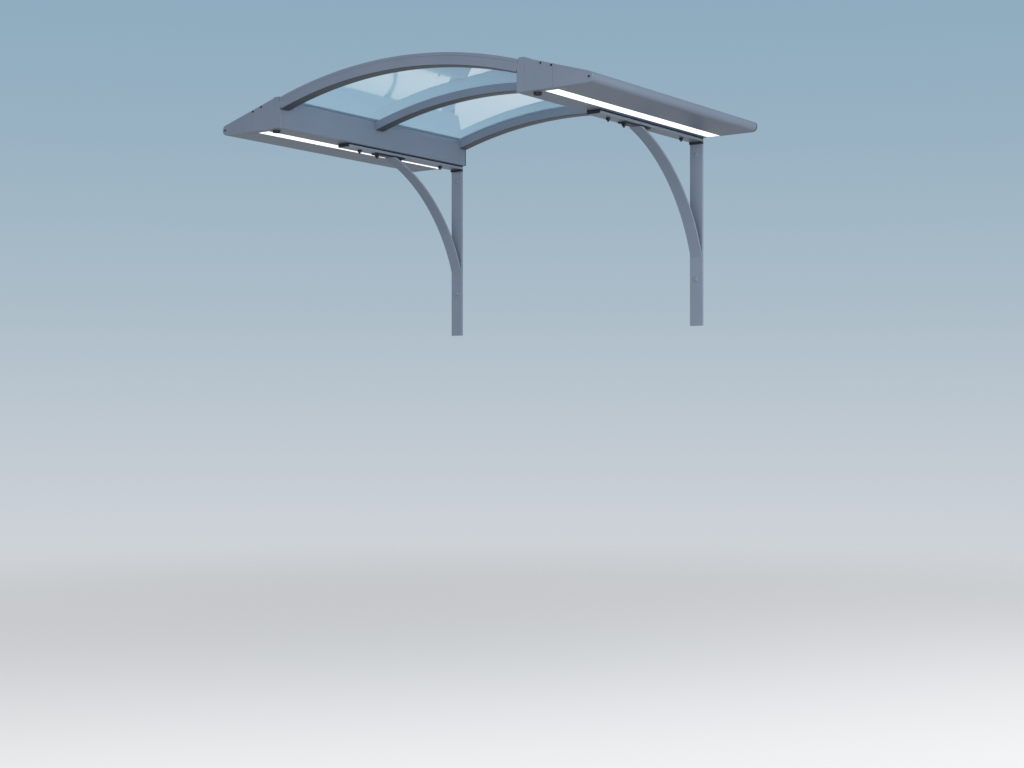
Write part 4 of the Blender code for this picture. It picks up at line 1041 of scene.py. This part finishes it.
# Braces, flat bars bent to an arc, a little narrower than the posts. Each is cut level under its
# black plate and upright where it meets the post.
BRACE_RADIUS = 0.761
BRACE_THICKNESS = 0.008
BRACE_CENTRE_Y = -0.7305
BRACE_CENTRE_DROP = 0.744
BRACE_STEPS = 160
brace_low, brace_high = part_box("brace_right")
plate_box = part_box("brace_plate_right")
brace_centre_z = underside_z - BRACE_CENTRE_DROP
brace_section = rounded(
    box_loop(brace_low.x, BRACE_RADIUS, brace_high.x, BRACE_RADIUS + BRACE_THICKNESS), 0.0010, 4
)
brace_shares = [i / BRACE_STEPS for i in range(BRACE_STEPS + 1)]


def along_brace(side):
    """Place the bar's section, in x and radius, at a share of the way up the brace."""
    def place(x, radius, share):
        low = math.acos((brace_high.y - BRACE_CENTRE_Y) / radius)
        high = math.asin((brace_high.z - brace_centre_z) / radius)
        angle = low + share * (high - low)
        return (
            side * x,
            BRACE_CENTRE_Y + radius * math.cos(angle),
            brace_centre_z + radius * math.sin(angle),
        )

    return place


for label, side in SIDES.items():
    brace_bm = bmesh.new()
    sweep(brace_bm, [brace_section], brace_shares, along_brace(side))
    finish_piece(f"bent_brace_{label}", brace_bm, bar_coat_painted_lighter, [f"brace_{label}"])
    bar_piece(
        f"plate_{label}", f"brace_plate_{label}", plate_box, side, 0.0008, 3, 0.0008, black_plastic,
    )

# Wall posts, solid flat bars screwed to the wall, each with a black block between it and the rail.
post_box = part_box("wall_post_right")
block_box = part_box("post_top_block_right")
for label, side in SIDES.items():
    bar_piece(
        f"post_{label}", f"wall_post_{label}", post_box, side, BAR_EDGE, 4, 0.0008, bar_coat_painted_lighter,
        upright=True,
    )
    bar_piece(
        f"top_block_{label}", f"post_top_block_{label}", block_box, side, 0.0015, 4, 0.0006,
        black_plastic, upright=True,
    )

# Fasteners, the screws of the end caps and the bolts of the brackets, in blackened steel. The wall
# screws are coated like the posts. Their CAD solids have the right form and take a material.
black_steel = moulded_plastic("blackened_steel", (0.016, 0.017, 0.020), 0.38, 900.0)
black_steel.node_tree.nodes["Principled BSDF"].inputs["Metallic"].default_value = 0.7
for name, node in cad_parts.items():
    if "wall_screw" in name:
        node.data.materials.clear()
        node.data.materials.append(bar_coat_painted_lighter)
    elif "screw" in name or "bolt" in name:
        node.data.materials.clear()
        node.data.materials.append(black_steel)
